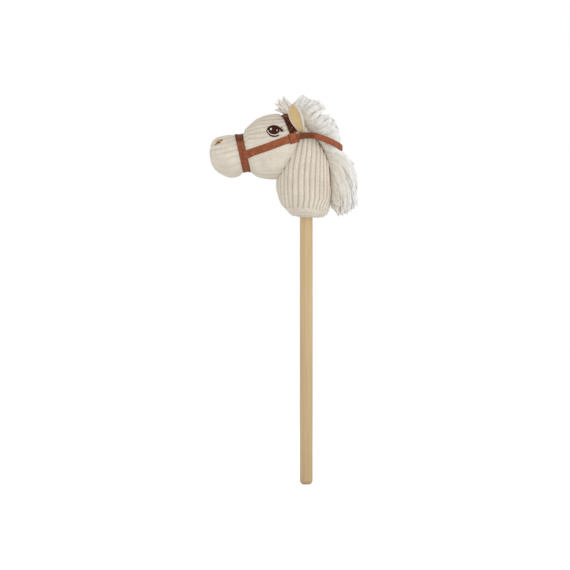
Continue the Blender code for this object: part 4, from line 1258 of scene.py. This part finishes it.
def patch(name, centre, size, lean, lift, height, finish, slot, *nodes):
    """A raised leaf of satin stitches on the left side."""
    turn = radians(lean)
    angle = -np.linspace(0, 2 * pi, 65)[:-1]
    share = np.sin(np.linspace(0, pi / 2, 12))[:, None]
    wide = share * np.cos(angle) * size[0] / 2
    high = share * np.sin(angle) * size[1] / 2
    x = centre[0] + wide * cos(turn) - high * sin(turn)
    z = centre[1] + wide * sin(turn) + high * cos(turn)
    rise = lift + height * np.sqrt(1 - share**4) + 0 * x
    points = []
    for place_x, place_z, up in zip(x.ravel(), z.ravel(), rise.ravel()):
        place, normal = surface("head", (place_x, 0, place_z), LEFT)
        points.append(place + normal * up)
    grid = np.array(points).reshape(*x.shape, 3)
    made = grid_object(name, grid, finish, wrap_columns=True, solid=True, values={"along": x})
    return fasten_pair(made, slot, *nodes)


class OBJECT_OT_horse_embroidery(bpy.types.Operator):
    """Stitch the eyes, lashes, lids and nostrils"""

    bl_idname = "object.horse_embroidery"
    bl_label = "Embroidery"

    def execute(self, context):
        colours = context.scene.horse_colours
        dark = rayon_thread("dark brown rayon thread", colours.dark_thread)
        tan = rayon_thread("tan rayon thread", colours.tan_thread)
        pale = rayon_thread("pale rayon thread", colours.pale_thread)
        patch("eye_white_left", (-64.6, 687.2), (22.6, 16.2), -8, 0.0, 0.3, pale, "dark_thread")
        patch("eye_iris_left", (-63.2, 688.6), (22.2, 16.8), -8, 0.35, 0.8, dark, "dark_thread", "eye_left")
        patch("eye_light_left", (-68.6, 690.4), (3.8, 4.2), 0, 0.9, 0.6, pale, "dark_thread")
        patch("eye_glint_left", (-57.0, 688.0), (1.7, 3.6), 0, 1.0, 0.5, pale, "dark_thread")
        stroke("upper_lid_left", UPPER_LID, (1.4, 2.4, 2.8, 3.2, 3.6, 2.0), 1.1, dark, "dark_thread")
        stroke(
            "lower_lid_line_left",
            LOWER_LID,
            (1.6, 2.4, 2.6, 2.6, 2.0),
            0.9,
            dark,
            "dark_thread",
            "lower_lid_left",
        )
        for i, line in enumerate(LASHES):
            stroke(f"lash_{i + 1}_left", line, (2.4, 1.9, 0.8), 0.9, dark, "dark_thread")
        patch(
            "nostril_tan_left", (-169.0, 668.4), (15.5, 6.6), 24, 0.1, 0.7, tan, "tan_thread", "nostril_left"
        )
        brown = rayon_thread("brown rayon thread", colours.brown_thread)
        for i, (line, widths) in enumerate(NOSTRIL_STITCHES):
            stroke(f"nostril_stitch_{i + 1}_left", line, widths, 1.2, brown, "dark_thread")
        return {"FINISHED"}


# Bridle
def cheek_height(count):
    """How high the cheek strap lies: over the noseband at its front and inside the loop at its rear."""
    share = np.linspace(0, 1, count)[:, None]
    return 0.25 + 1.75 * (1 - ease(0.1, 0.22, share)) + 1.2 * ease(0.76, 0.86, share)


class OBJECT_OT_horse_bridle(bpy.types.Operator):
    """Cut and fit the noseband, browband, cheek straps and their loops"""

    bl_idname = "object.horse_bridle"
    bl_label = "Bridle"

    def execute(self, context):
        sizes = context.scene.horse_sizes
        leather = split_leather(context.scene.horse_colours)
        thick = sizes.strap_thickness / MM
        places, normals = belt_lanes(
            NOSEBAND_CENTRE, NOSEBAND_LEAN, sizes.noseband_width / MM, np.linspace(0, 2 * pi, 181)[:-1]
        )
        level = places[:, 6:7, 2]
        # The noseband is speckled all round, with painted shade on its upturned top, eased off again along
        # its top edge
        shade = 0.25 + 0.45 * ease(664, 670, level) * (1 - 0.5 * ease(678, 682, level))
        toning = {"shade": shade, "tone": 1.12}
        lift = 0.15 - 3.6 * (1 + LANES[None, :]) / 2 * nose_dent(places)
        noseband = band("noseband_strap", places, normals, lift, thick, leather, wrap=True, values=toning)
        fasten(noseband, "strap_leather", "noseband")
        reach = radians(BROWBAND_REACH)
        places, normals = belt_lanes(
            BROWBAND_CENTRE, BROWBAND_LEAN, sizes.browband_width / MM, np.linspace(-reach, reach, 121)
        )
        level = places[:, 6:7, 2]
        # Painted shade over the browband above 685 mm, eased off at its top end
        shade = 0.94 * ease(680, 685, level) * (1 - 0.6 * ease(713, 718, level))
        lift = 0.15 - 5.2 * (1 - LANES[None, :]) / 2 * brow_dent(places)
        browband = band("browband_strap", places, normals, lift, thick, leather, values={"shade": shade})
        fasten(browband, "strap_leather", "browband")
        places, normals = side_lanes(CHEEK_LINE, sizes.cheek_strap_width / MM, 14)
        toning = {"shade": 0.3, "tone": 1.3}
        cheek = band(
            "cheek_strap_leather_left",
            places,
            normals,
            cheek_height(len(places)),
            thick,
            leather,
            values=toning,
        )
        fasten_pair(cheek, "strap_leather", "cheek_strap_left")
        fasten_pair(add_loop(sizes, leather), "strap_leather", "strap_loop_left")
        return {"FINISHED"}


def add_loop(sizes, finish):
    """The browband's end, folded round the cheek strap on the left."""
    run = np.array(CHEEK_LINE[-1]) - np.array(CHEEK_LINE[-2])
    run /= np.linalg.norm(run)
    wide = sizes.cheek_strap_width / MM / 2 - 0.2
    wall = 0.9
    low, high = 0.35, 3.5
    bend = np.linspace(pi / 2, 3 * pi / 2, 9)
    rise = (high - low) / 2
    left_end = [(-wide + rise * cos(a), (low + high) / 2 + rise * sin(a), cos(a), sin(a)) for a in bend]
    right_end = [(wide - rise * cos(a), (low + high) / 2 - rise * sin(a), -cos(a), -sin(a)) for a in bend]
    inner = [(x, low, 0.0, -1.0) for x in np.linspace(-wide, wide, 9)[1:-1]]
    outer = [(x, high, 0.0, 1.0) for x in np.linspace(wide, -wide, 9)[1:-1]]
    places, normals = [], []
    for across, up, turn_across, turn_up in left_end + inner + right_end + outer:
        row, ways = [], []
        for step in LANES * sizes.browband_width / MM / 2:
            x = LOOP_CENTRE[0] + run[0] * step - run[1] * across
            z = LOOP_CENTRE[1] + run[1] * step + run[0] * across
            place, normal = surface("head", (x, 0, z), LEFT)
            row.append(place + normal * up)
            ways.append(np.array((-run[1], 0, run[0])) * turn_across + np.array(normal) * turn_up)
        places.append(row)
        normals.append(ways)
    # Painted shade along the loop's edges, where it stands proud of the straps
    edges = ease(0.75, 0.95, np.abs(np.concatenate([LANES, LANES[::-1]])))
    return band(
        "browband_loop_left",
        np.array(places),
        np.array(normals),
        0.0,
        wall,
        finish,
        wrap=True,
        values={"shade": edges * 0.5, "tone": 1.05},
    )


class OBJECT_OT_horse_rein(bpy.types.Operator):
    """Hang the rein from the strap loops, round behind the mane"""

    bl_idname = "object.horse_rein"
    bl_label = "Rein"

    def execute(self, context):
        sizes = context.scene.horse_sizes
        leather = split_leather(context.scene.horse_colours)
        heights = smooth_table(REIN_LINE, 8)
        start, normal = surface("head", (REIN_LINE[0][0], 0, REIN_LINE[0][1]), LEFT)
        front = -(start[1] + normal[1] * 1.7)
        angle = np.linspace(0, pi / 2, 90)
        depth = REIN_LINE[-1][0] - REIN_HINGE_X
        behind = np.stack([REIN_HINGE_X + depth * np.sin(angle), -REIN_HALF_SPAN * np.cos(angle)], -1)
        lead_x = np.linspace(REIN_LINE[0][0], REIN_HINGE_X, 13)[:-1]
        lead_y = -(front + (REIN_HALF_SPAN - front) * ease(REIN_LINE[0][0], REIN_HINGE_X + 2, lead_x))
        half = np.concatenate([np.stack([lead_x, lead_y], -1), behind])
        flat = np.concatenate([half, half[-2::-1] * (1, -1)])
        level = np.interp(flat[:, 0], heights[:, 0], heights[:, 1])
        line = np.column_stack([flat, level])
        run = np.gradient(line, axis=0)
        run /= np.linalg.norm(run, axis=1, keepdims=True)
        out = np.stack([run[:, 1], -run[:, 0], 0 * run[:, 0]], -1)
        out /= np.linalg.norm(out, axis=1, keepdims=True)
        rise = np.cross(run, out)
        rise *= np.sign(rise[:, 2:])
        wide = sizes.rein_width / MM / 2
        places = line[:, None] + rise[:, None] * wide * LANES[None, :, None]
        normals = np.repeat(out[:, None], len(LANES), axis=1)
        thick = sizes.strap_thickness / MM
        # The rein is darker from the loop to about x = 10 mm, and a little lighter from x = 20 mm back
        darker_stretch = ease(-16, -10, line[:, 0]) * (1 - ease(10, 20, line[:, 0]))
        tone = 1 - 0.44 * darker_stretch + 0.04 * ease(20, 34, line[:, 0])
        rein = band("rein_strap", places, normals, -thick / 2, thick, leather, values={"tone": tone[:, None]})
        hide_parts("rein")
        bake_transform(rein)
        return {"FINISHED"}


# Mane
def tucked(points):
    """Points of the mane, pressed in where the rein passes over them."""
    heights = smooth_table(REIN_LINE, 8)
    off = np.abs(points[..., 2] - np.interp(points[..., 0], heights[:, 0], heights[:, 1]))
    ahead, across = points[..., 0] - REIN_HINGE_X, points[..., 1]
    reach = np.hypot(ahead / (REIN_LINE[-1][0] - REIN_HINGE_X), across / REIN_HALF_SPAN)
    allowed = 0.955 + 0.016 * np.maximum(off - 7, 0) ** 1.5
    scale = np.where(ahead > 0, np.minimum(allowed / np.maximum(reach, 1e-6), 1), 1)
    return np.stack([REIN_HINGE_X + ahead * scale, across * scale, points[..., 2]], -1)


def tip_shares(rows):
    """How far along its outline each row of a tuft's table has its tip, from 0 to 1."""
    table = np.array(rows, float)
    place = np.concatenate([[0], np.cumsum(np.hypot(*np.diff(table[:, 2:4], axis=0).T))])
    return place / place[-1]


def tuft_table(rows):
    """Rows of a tuft at even steps along the outline that its tips draw."""
    even = np.linspace(0, 1, 241)
    columns = [np.interp(even, tip_shares(rows), column) for column in np.array(rows, float).T]
    return even, np.stack(columns, -1)


def fur_strands(name, rows, locks, girth, side, sizes, finish, seed, outer=False):
    """Half a tuft of fur on one side: locks of strands that grow from the crest to the tuft's outline.

    Each row of the table gets a pointed lock, and the rest lie between. With outer, no lock is pointed and
    all lie well out from the middle.
    """
    rng = np.random.default_rng(seed)
    even, table = tuft_table(rows)
    share = (np.arange(locks) + rng.uniform(0, 1, locks)) / locks
    rng.shuffle(share)
    wide = rng.uniform(0.8 if outer else 0, 1, locks)
    short = 0.3 * np.maximum(rng.uniform(-0.5, 1, locks), 0) ** 1.5 + 0.14 * wide**2
    tint = rng.uniform(0, 1, locks) ** 3
    shade = rng.uniform(0.97, 1.0, locks)
    girth = girth * rng.uniform(0.7, 1.3, locks)
    pointed = np.arange(locks) < (0 if outer else len(rows))
    marks = np.linspace(0, 1, len(rows)) if outer else tip_shares(rows)
    share[: len(rows)] = np.where(pointed[: len(rows)], marks, share[: len(rows)])
    short = 0.5 * short / 0.44 if outer else np.where(pointed, 0, short)
    wide = np.where(pointed, wide * 0.5, wide)

    count = locks * sizes.strands
    lock = np.repeat(np.arange(locks), sizes.strands)
    nearby = np.clip(share[lock] + rng.normal(0, 1, count) * np.where(pointed, 0.002, 0.012)[lock], 0, 1)
    tip_x, tip_z = (np.interp(nearby, even, table[:, i]) for i in (2, 3))
    root_x, root_z, half, arch, warm = (np.interp(share[lock], even, table[:, i]) for i in (0, 1, 4, 5, 6))
    spread = side * half * wide[lock] * rng.uniform(0.8, 1.0, count)
    off = 0.5 + 0.64 * half * (0.2 * rng.uniform(0, 1, count) + 0.8 * wide[lock])
    roots = np.stack([root_x - 0.011 * off**2, side * off, root_z], -1)
    full = np.stack([tip_x, spread * 0.8, tip_z], -1)
    tips = roots + (full - roots) * (1 - short[lock] - 0.08 * rng.uniform(0, 1, count) ** 2)[:, None]
    span = tips - roots
    beside = np.stack([-span[:, 2], 0 * span[:, 0], span[:, 0]], -1)
    bulge = roots + span * 0.5 + beside * (arch + 0.05 * rng.uniform(-1, 1, locks)[lock])[:, None]
    bulge[:, 1] = spread * (1.1 if outer else 1.4)
    beside /= np.linalg.norm(beside, axis=1, keepdims=True)

    t = np.linspace(0, 1, 6)[None, :, None]
    line = roots[:, None] * (1 - t) ** 2 + 2 * bulge[:, None] * t * (1 - t) + tips[:, None] * t**2
    turn = rng.uniform(0, 2 * pi, count)
    far = np.sqrt(rng.uniform(0, 1, count)) * girth[lock]
    drawn = np.where(pointed, 1.0, 0.8)[lock][:, None, None]
    close = np.sin(np.minimum(0.35 + t * 1.3, 1) * pi / 2) * (1 - drawn * t**3)
    shift = beside * (np.cos(turn) * far)[:, None] + np.array((0, 1, 0)) * (np.sin(turn) * far * 0.7)[:, None]
    line = line + shift[:, None] * close
    wave = rng.uniform(0, 2 * pi, count)[:, None, None]
    curl = 0.45 * np.sin(t * rng.uniform(4, 9, count)[:, None, None] + wave) * t * (1 - 0.6 * t)
    line = line + beside[:, None] * curl + np.array((0, 1, 0)) * curl
    line = tucked(line)
    tone = np.minimum(shade[lock] + rng.normal(0, 0.09 if outer else 0.02, count), 1)[:, None]
    tinted = np.clip(warm * 0.7 + tint[lock] * 0.3, 0, 1)[:, None]
    shares = {"share": t[..., 0], "tone": tone, "warm": tinted}
    values = {key: np.broadcast_to(value, line.shape[:2]) for key, value in shares.items()}
    return strand_mesh(name, line, sizes.strand_radius / MM, values, finish)


def strand_mesh(name, line, radius, values, finish):
    """Tapered strands along lines of points: three-sided, flat to the tuft's outside, closed at both ends."""
    count, steps = line.shape[:2]
    run = np.gradient(line, axis=1)
    run /= np.maximum(np.linalg.norm(run, axis=-1, keepdims=True), 1e-9)
    middle = line[:, steps // 2, 1][:, None, None]
    turn = np.arange(count)[:, None, None]
    # A strand is flat to its side the more, the further out it lies; every second one is so anywhere, and
    # every fifth one stays turned to the outline
    sideways = np.maximum(np.clip(np.abs(middle) / 9, 0.1, 1), turn % 2)
    sideways = np.where(turn % 5 == 0, np.minimum(sideways, 0.45), sideways)
    span = line[:, -1:] - line[:, :1]
    over = np.stack([-span[..., 2], 0 * span[..., 0], span[..., 0]], -1) * np.sign(span[..., :1])
    over /= np.linalg.norm(over, axis=-1, keepdims=True)
    away = np.sign(middle) * sideways * np.array((0.0, 1.0, 0.0)) + (1 - sideways) * over
    side = np.cross(run, away)
    side /= np.maximum(np.linalg.norm(side, axis=-1, keepdims=True), 1e-9)
    out = np.cross(side, run)
    wide = radius * np.linspace(1.0, 0.6, steps)[None, :, None]
    points = np.stack([line - wide * side, line + wide * side, line - wide * 0.7 * out], axis=2)
    index = np.arange(count * steps * 3).reshape(count, steps, 3)
    low, high = index[:, :-1], index[:, 1:]
    triangles = [index[:, 0, ::-1], index[:, -1]]
    for i in range(3):
        j = (i + 1) % 3
        triangles.append(np.stack([low[..., i], low[..., j], high[..., j]], -1).reshape(-1, 3))
        triangles.append(np.stack([low[..., i], high[..., j], high[..., i]], -1).reshape(-1, 3))
    faces = np.concatenate(triangles)
    mesh = bpy.data.meshes.new(name)
    mesh.vertices.add(points.size // 3)
    mesh.vertices.foreach_set("co", (points * MM).ravel())
    mesh.loops.add(faces.size)
    mesh.loops.foreach_set("vertex_index", faces.ravel())
    mesh.polygons.add(len(faces))
    mesh.polygons.foreach_set("loop_start", np.arange(0, faces.size, 3))
    for key, value in values.items():
        spread = np.repeat(np.asarray(value, np.float32), 3, axis=1)
        mesh.attributes.new(key, "FLOAT", "POINT").data.foreach_set("value", spread.ravel())
    mesh.update(calc_edges=True)
    mesh.validate()
    made = link(name, mesh, finish)
    mesh.shade_flat()
    return made


def fur_core(name, rows, finish):
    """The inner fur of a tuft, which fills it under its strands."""
    _, table = tuft_table(rows)
    smooth = [np.convolve(np.pad(column, 15, "edge"), np.ones(31) / 31, "valid") for column in table.T]
    table = np.stack(smooth, -1)[::6]
    middle = (table[:, 0:2] * 0.52 + table[:, 2:4] * 0.48)[:, None]
    reach = ((table[:, 2:4] - table[:, 0:2]) * 0.3)[:, None]
    turn = np.linspace(0, 2 * pi, 41)[:-1]
    flat = middle + reach * np.cos(turn)[None, :, None]
    across = table[:, 4:5] * 0.66 * np.sin(turn)
    grid = np.stack([flat[..., 0], across, flat[..., 1]], -1)
    grid += soft_noise(grid, 4.0)[..., None] * 0.9
    share = 0.3 + 0.3 * np.cos(turn)[None, :] + 0 * across
    values = {"share": share, "tone": 1.0, "warm": 0.15}
    return grid_object(name, grid, finish, wrap_columns=True, solid=True, values=values)


def mane_shade_line(finish):
    """A brown band of thread where the mane meets the back of the neck on the left: painted shade along the
    shadow line between them.
    """
    heights = np.linspace(*SHADE_LINE_HEIGHTS, 56)
    rows = [[((0, SHADE_LINE_Y + SHADE_LINE_HALF * s, height), (1, 0, 0)) for s in LANES] for height in heights]
    return band("mane_seam_left", *cast_lanes("neck", rows), -0.1, 0.7, finish)


class OBJECT_OT_horse_mane(bpy.types.Operator):
    """Grow the forelock and the mane"""

    bl_idname = "object.horse_mane"
    bl_label = "Mane"

    def execute(self, context):
        sizes, colours = context.scene.horse_sizes, context.scene.horse_colours
        finish = acrylic_fur("ivory acrylic fur", colours)
        for tuft in TUFTS + EDGE_TUFTS:
            name, node, rows, locks, girth, seed = tuft
            edge = tuft in EDGE_TUFTS
            if not edge:
                fasten(fur_core(f"{name}_core", rows, finish), "fur", node)
            for side, word in ((-1, "left"), (1, "right")):
                strands = f"{name}_strands_{word}"
                made = fur_strands(strands, rows, locks, girth, side, sizes, finish, seed + side, edge)
                fasten(made, "fur", node)
        # A brown band of thread beside the mane, painted shade along the shadow line between neck and mane
        thread = rayon_thread("brown shade line thread", colours.shade_line_thread)
        fasten_pair(mane_shade_line(thread), "dark_thread")
        refinish("mane_backing", woven_cotton("woven cotton tape", colours))
        return {"FINISHED"}


# Floor, lamps and camera
def seen_directly(tree):
    """1 for rays that show a thing, from the camera, a mirror or glass, and 0 for those that light."""
    rays = add_node(tree, "ShaderNodeLightPath").outputs
    seen = rays["Is Camera Ray"]
    for kind in ("Is Glossy Ray", "Is Transmission Ray"):
        seen = add_node(tree, "ShaderNodeMath", {0: seen, 1: rays[kind]}, operation="MAXIMUM").outputs[0]
    return seen


def area_lamp(name, place, aim, power):
    """A square soft box that points at aim."""
    lamp = bpy.data.lights.new(name, "AREA")
    lamp.size = LAMP_SIZE
    lamp.energy = power
    obj = bpy.data.objects.new(name, lamp)
    obj.location = place
    obj.rotation_euler = (Vector(aim) - Vector(place)).to_track_quat("-Z", "Y").to_euler()
    bpy.context.scene.collection.objects.link(obj)


class OBJECT_OT_horse_stage(bpy.types.Operator):
    """Set the floor, the lamps, the world and the camera"""

    bl_idname = "object.horse_stage"
    bl_label = "Stage"

    def execute(self, context):
        scene = context.scene
        paper, tree, shader = new_finish("pale matt paper", Roughness=1.0, Specular_IOR_Level=0.0)
        shader.inputs["Base Color"].default_value = (*scene.horse_colours.floor, 1)
        glow = add_node(tree, "ShaderNodeMath", {0: seen_directly(tree), 1: FLOOR_GLOW}, operation="MULTIPLY")
        shader.inputs["Emission Color"].default_value = (1, 1, 1, 1)
        tree.links.new(glow.outputs[0], shader.inputs["Emission Strength"])
        mesh = bpy.data.meshes.new("floor")
        far = FLOOR_REACH
        mesh.from_pydata([(-far, -far, 0), (far, -far, 0), (far, far, 0), (-far, far, 0)], [], [(0, 1, 2, 3)])
        link("floor", mesh, paper)

        world = bpy.data.worlds.new("soft studio")
        scene.world = world
        world.use_nodes = True
        tree = world.node_tree
        tree.nodes.clear()
        light = add_node(tree, "ShaderNodeBackground", {"Color": (1, 1, 1, 1), "Strength": WORLD_STRENGTH})
        white = add_node(tree, "ShaderNodeBackground", {"Color": (1, 1, 1, 1), "Strength": 1.0})
        mixed = add_node(
            tree, "ShaderNodeMixShader", {0: seen_directly(tree), 1: light.outputs[0], 2: white.outputs[0]}
        )
        add_node(tree, "ShaderNodeOutputWorld", {"Surface": mixed.outputs[0]})

        for lamp in LAMPS:
            area_lamp(*lamp)

        scene.view_settings.view_transform = "Standard"
        camera = bpy.data.cameras.new("camera")
        camera.lens = CAMERA_LENS
        camera.sensor_width = 36
        camera.clip_end = CAMERA_RANGE
        obj = bpy.data.objects.new("camera", camera)
        obj.location = CAMERA_PLACE
        obj.rotation_euler = (radians(90), 0, 0)
        scene.collection.objects.link(obj)
        scene.camera = obj
        return {"FINISHED"}


class VIEW3D_PT_hobby_horse(bpy.types.Panel):
    """The hobby horse's sizes, colours and pieces"""

    bl_label = "Hobby horse"
    bl_idname = "VIEW3D_PT_hobby_horse"
    bl_space_type = "VIEW_3D"
    bl_region_type = "UI"
    bl_category = "Hobby horse"

    def draw(self, context):
        for group in (context.scene.horse_sizes, context.scene.horse_colours):
            for key in group.__annotations__:
                self.layout.prop(group, key)
        for operator in OPERATORS:
            self.layout.operator(operator.bl_idname)


OPERATORS = (
    OBJECT_OT_horse_stick,
    OBJECT_OT_horse_body,
    OBJECT_OT_horse_inside,
    OBJECT_OT_horse_ears,
    OBJECT_OT_horse_embroidery,
    OBJECT_OT_horse_bridle,
    OBJECT_OT_horse_rein,
    OBJECT_OT_horse_mane,
    OBJECT_OT_horse_stage,
)
CLASSES = (HorseSizes, HorseColours, *OPERATORS, VIEW3D_PT_hobby_horse)


def register():
    for cls in CLASSES:
        bpy.utils.register_class(cls)
    bpy.types.Scene.horse_sizes = PointerProperty(type=HorseSizes)
    bpy.types.Scene.horse_colours = PointerProperty(type=HorseColours)


def unregister():
    del bpy.types.Scene.horse_colours
    del bpy.types.Scene.horse_sizes
    for cls in reversed(CLASSES):
        bpy.utils.unregister_class(cls)


def main():
    register()
    bpy.ops.object.horse_stick()
    bpy.ops.object.horse_body()
    bpy.ops.object.horse_inside()
    bpy.ops.object.horse_ears()
    bpy.ops.object.horse_embroidery()
    bpy.ops.object.horse_bridle()
    bpy.ops.object.horse_rein()
    bpy.ops.object.horse_mane()
    bpy.ops.object.horse_stage()


if __name__ == "__main__":
    main()
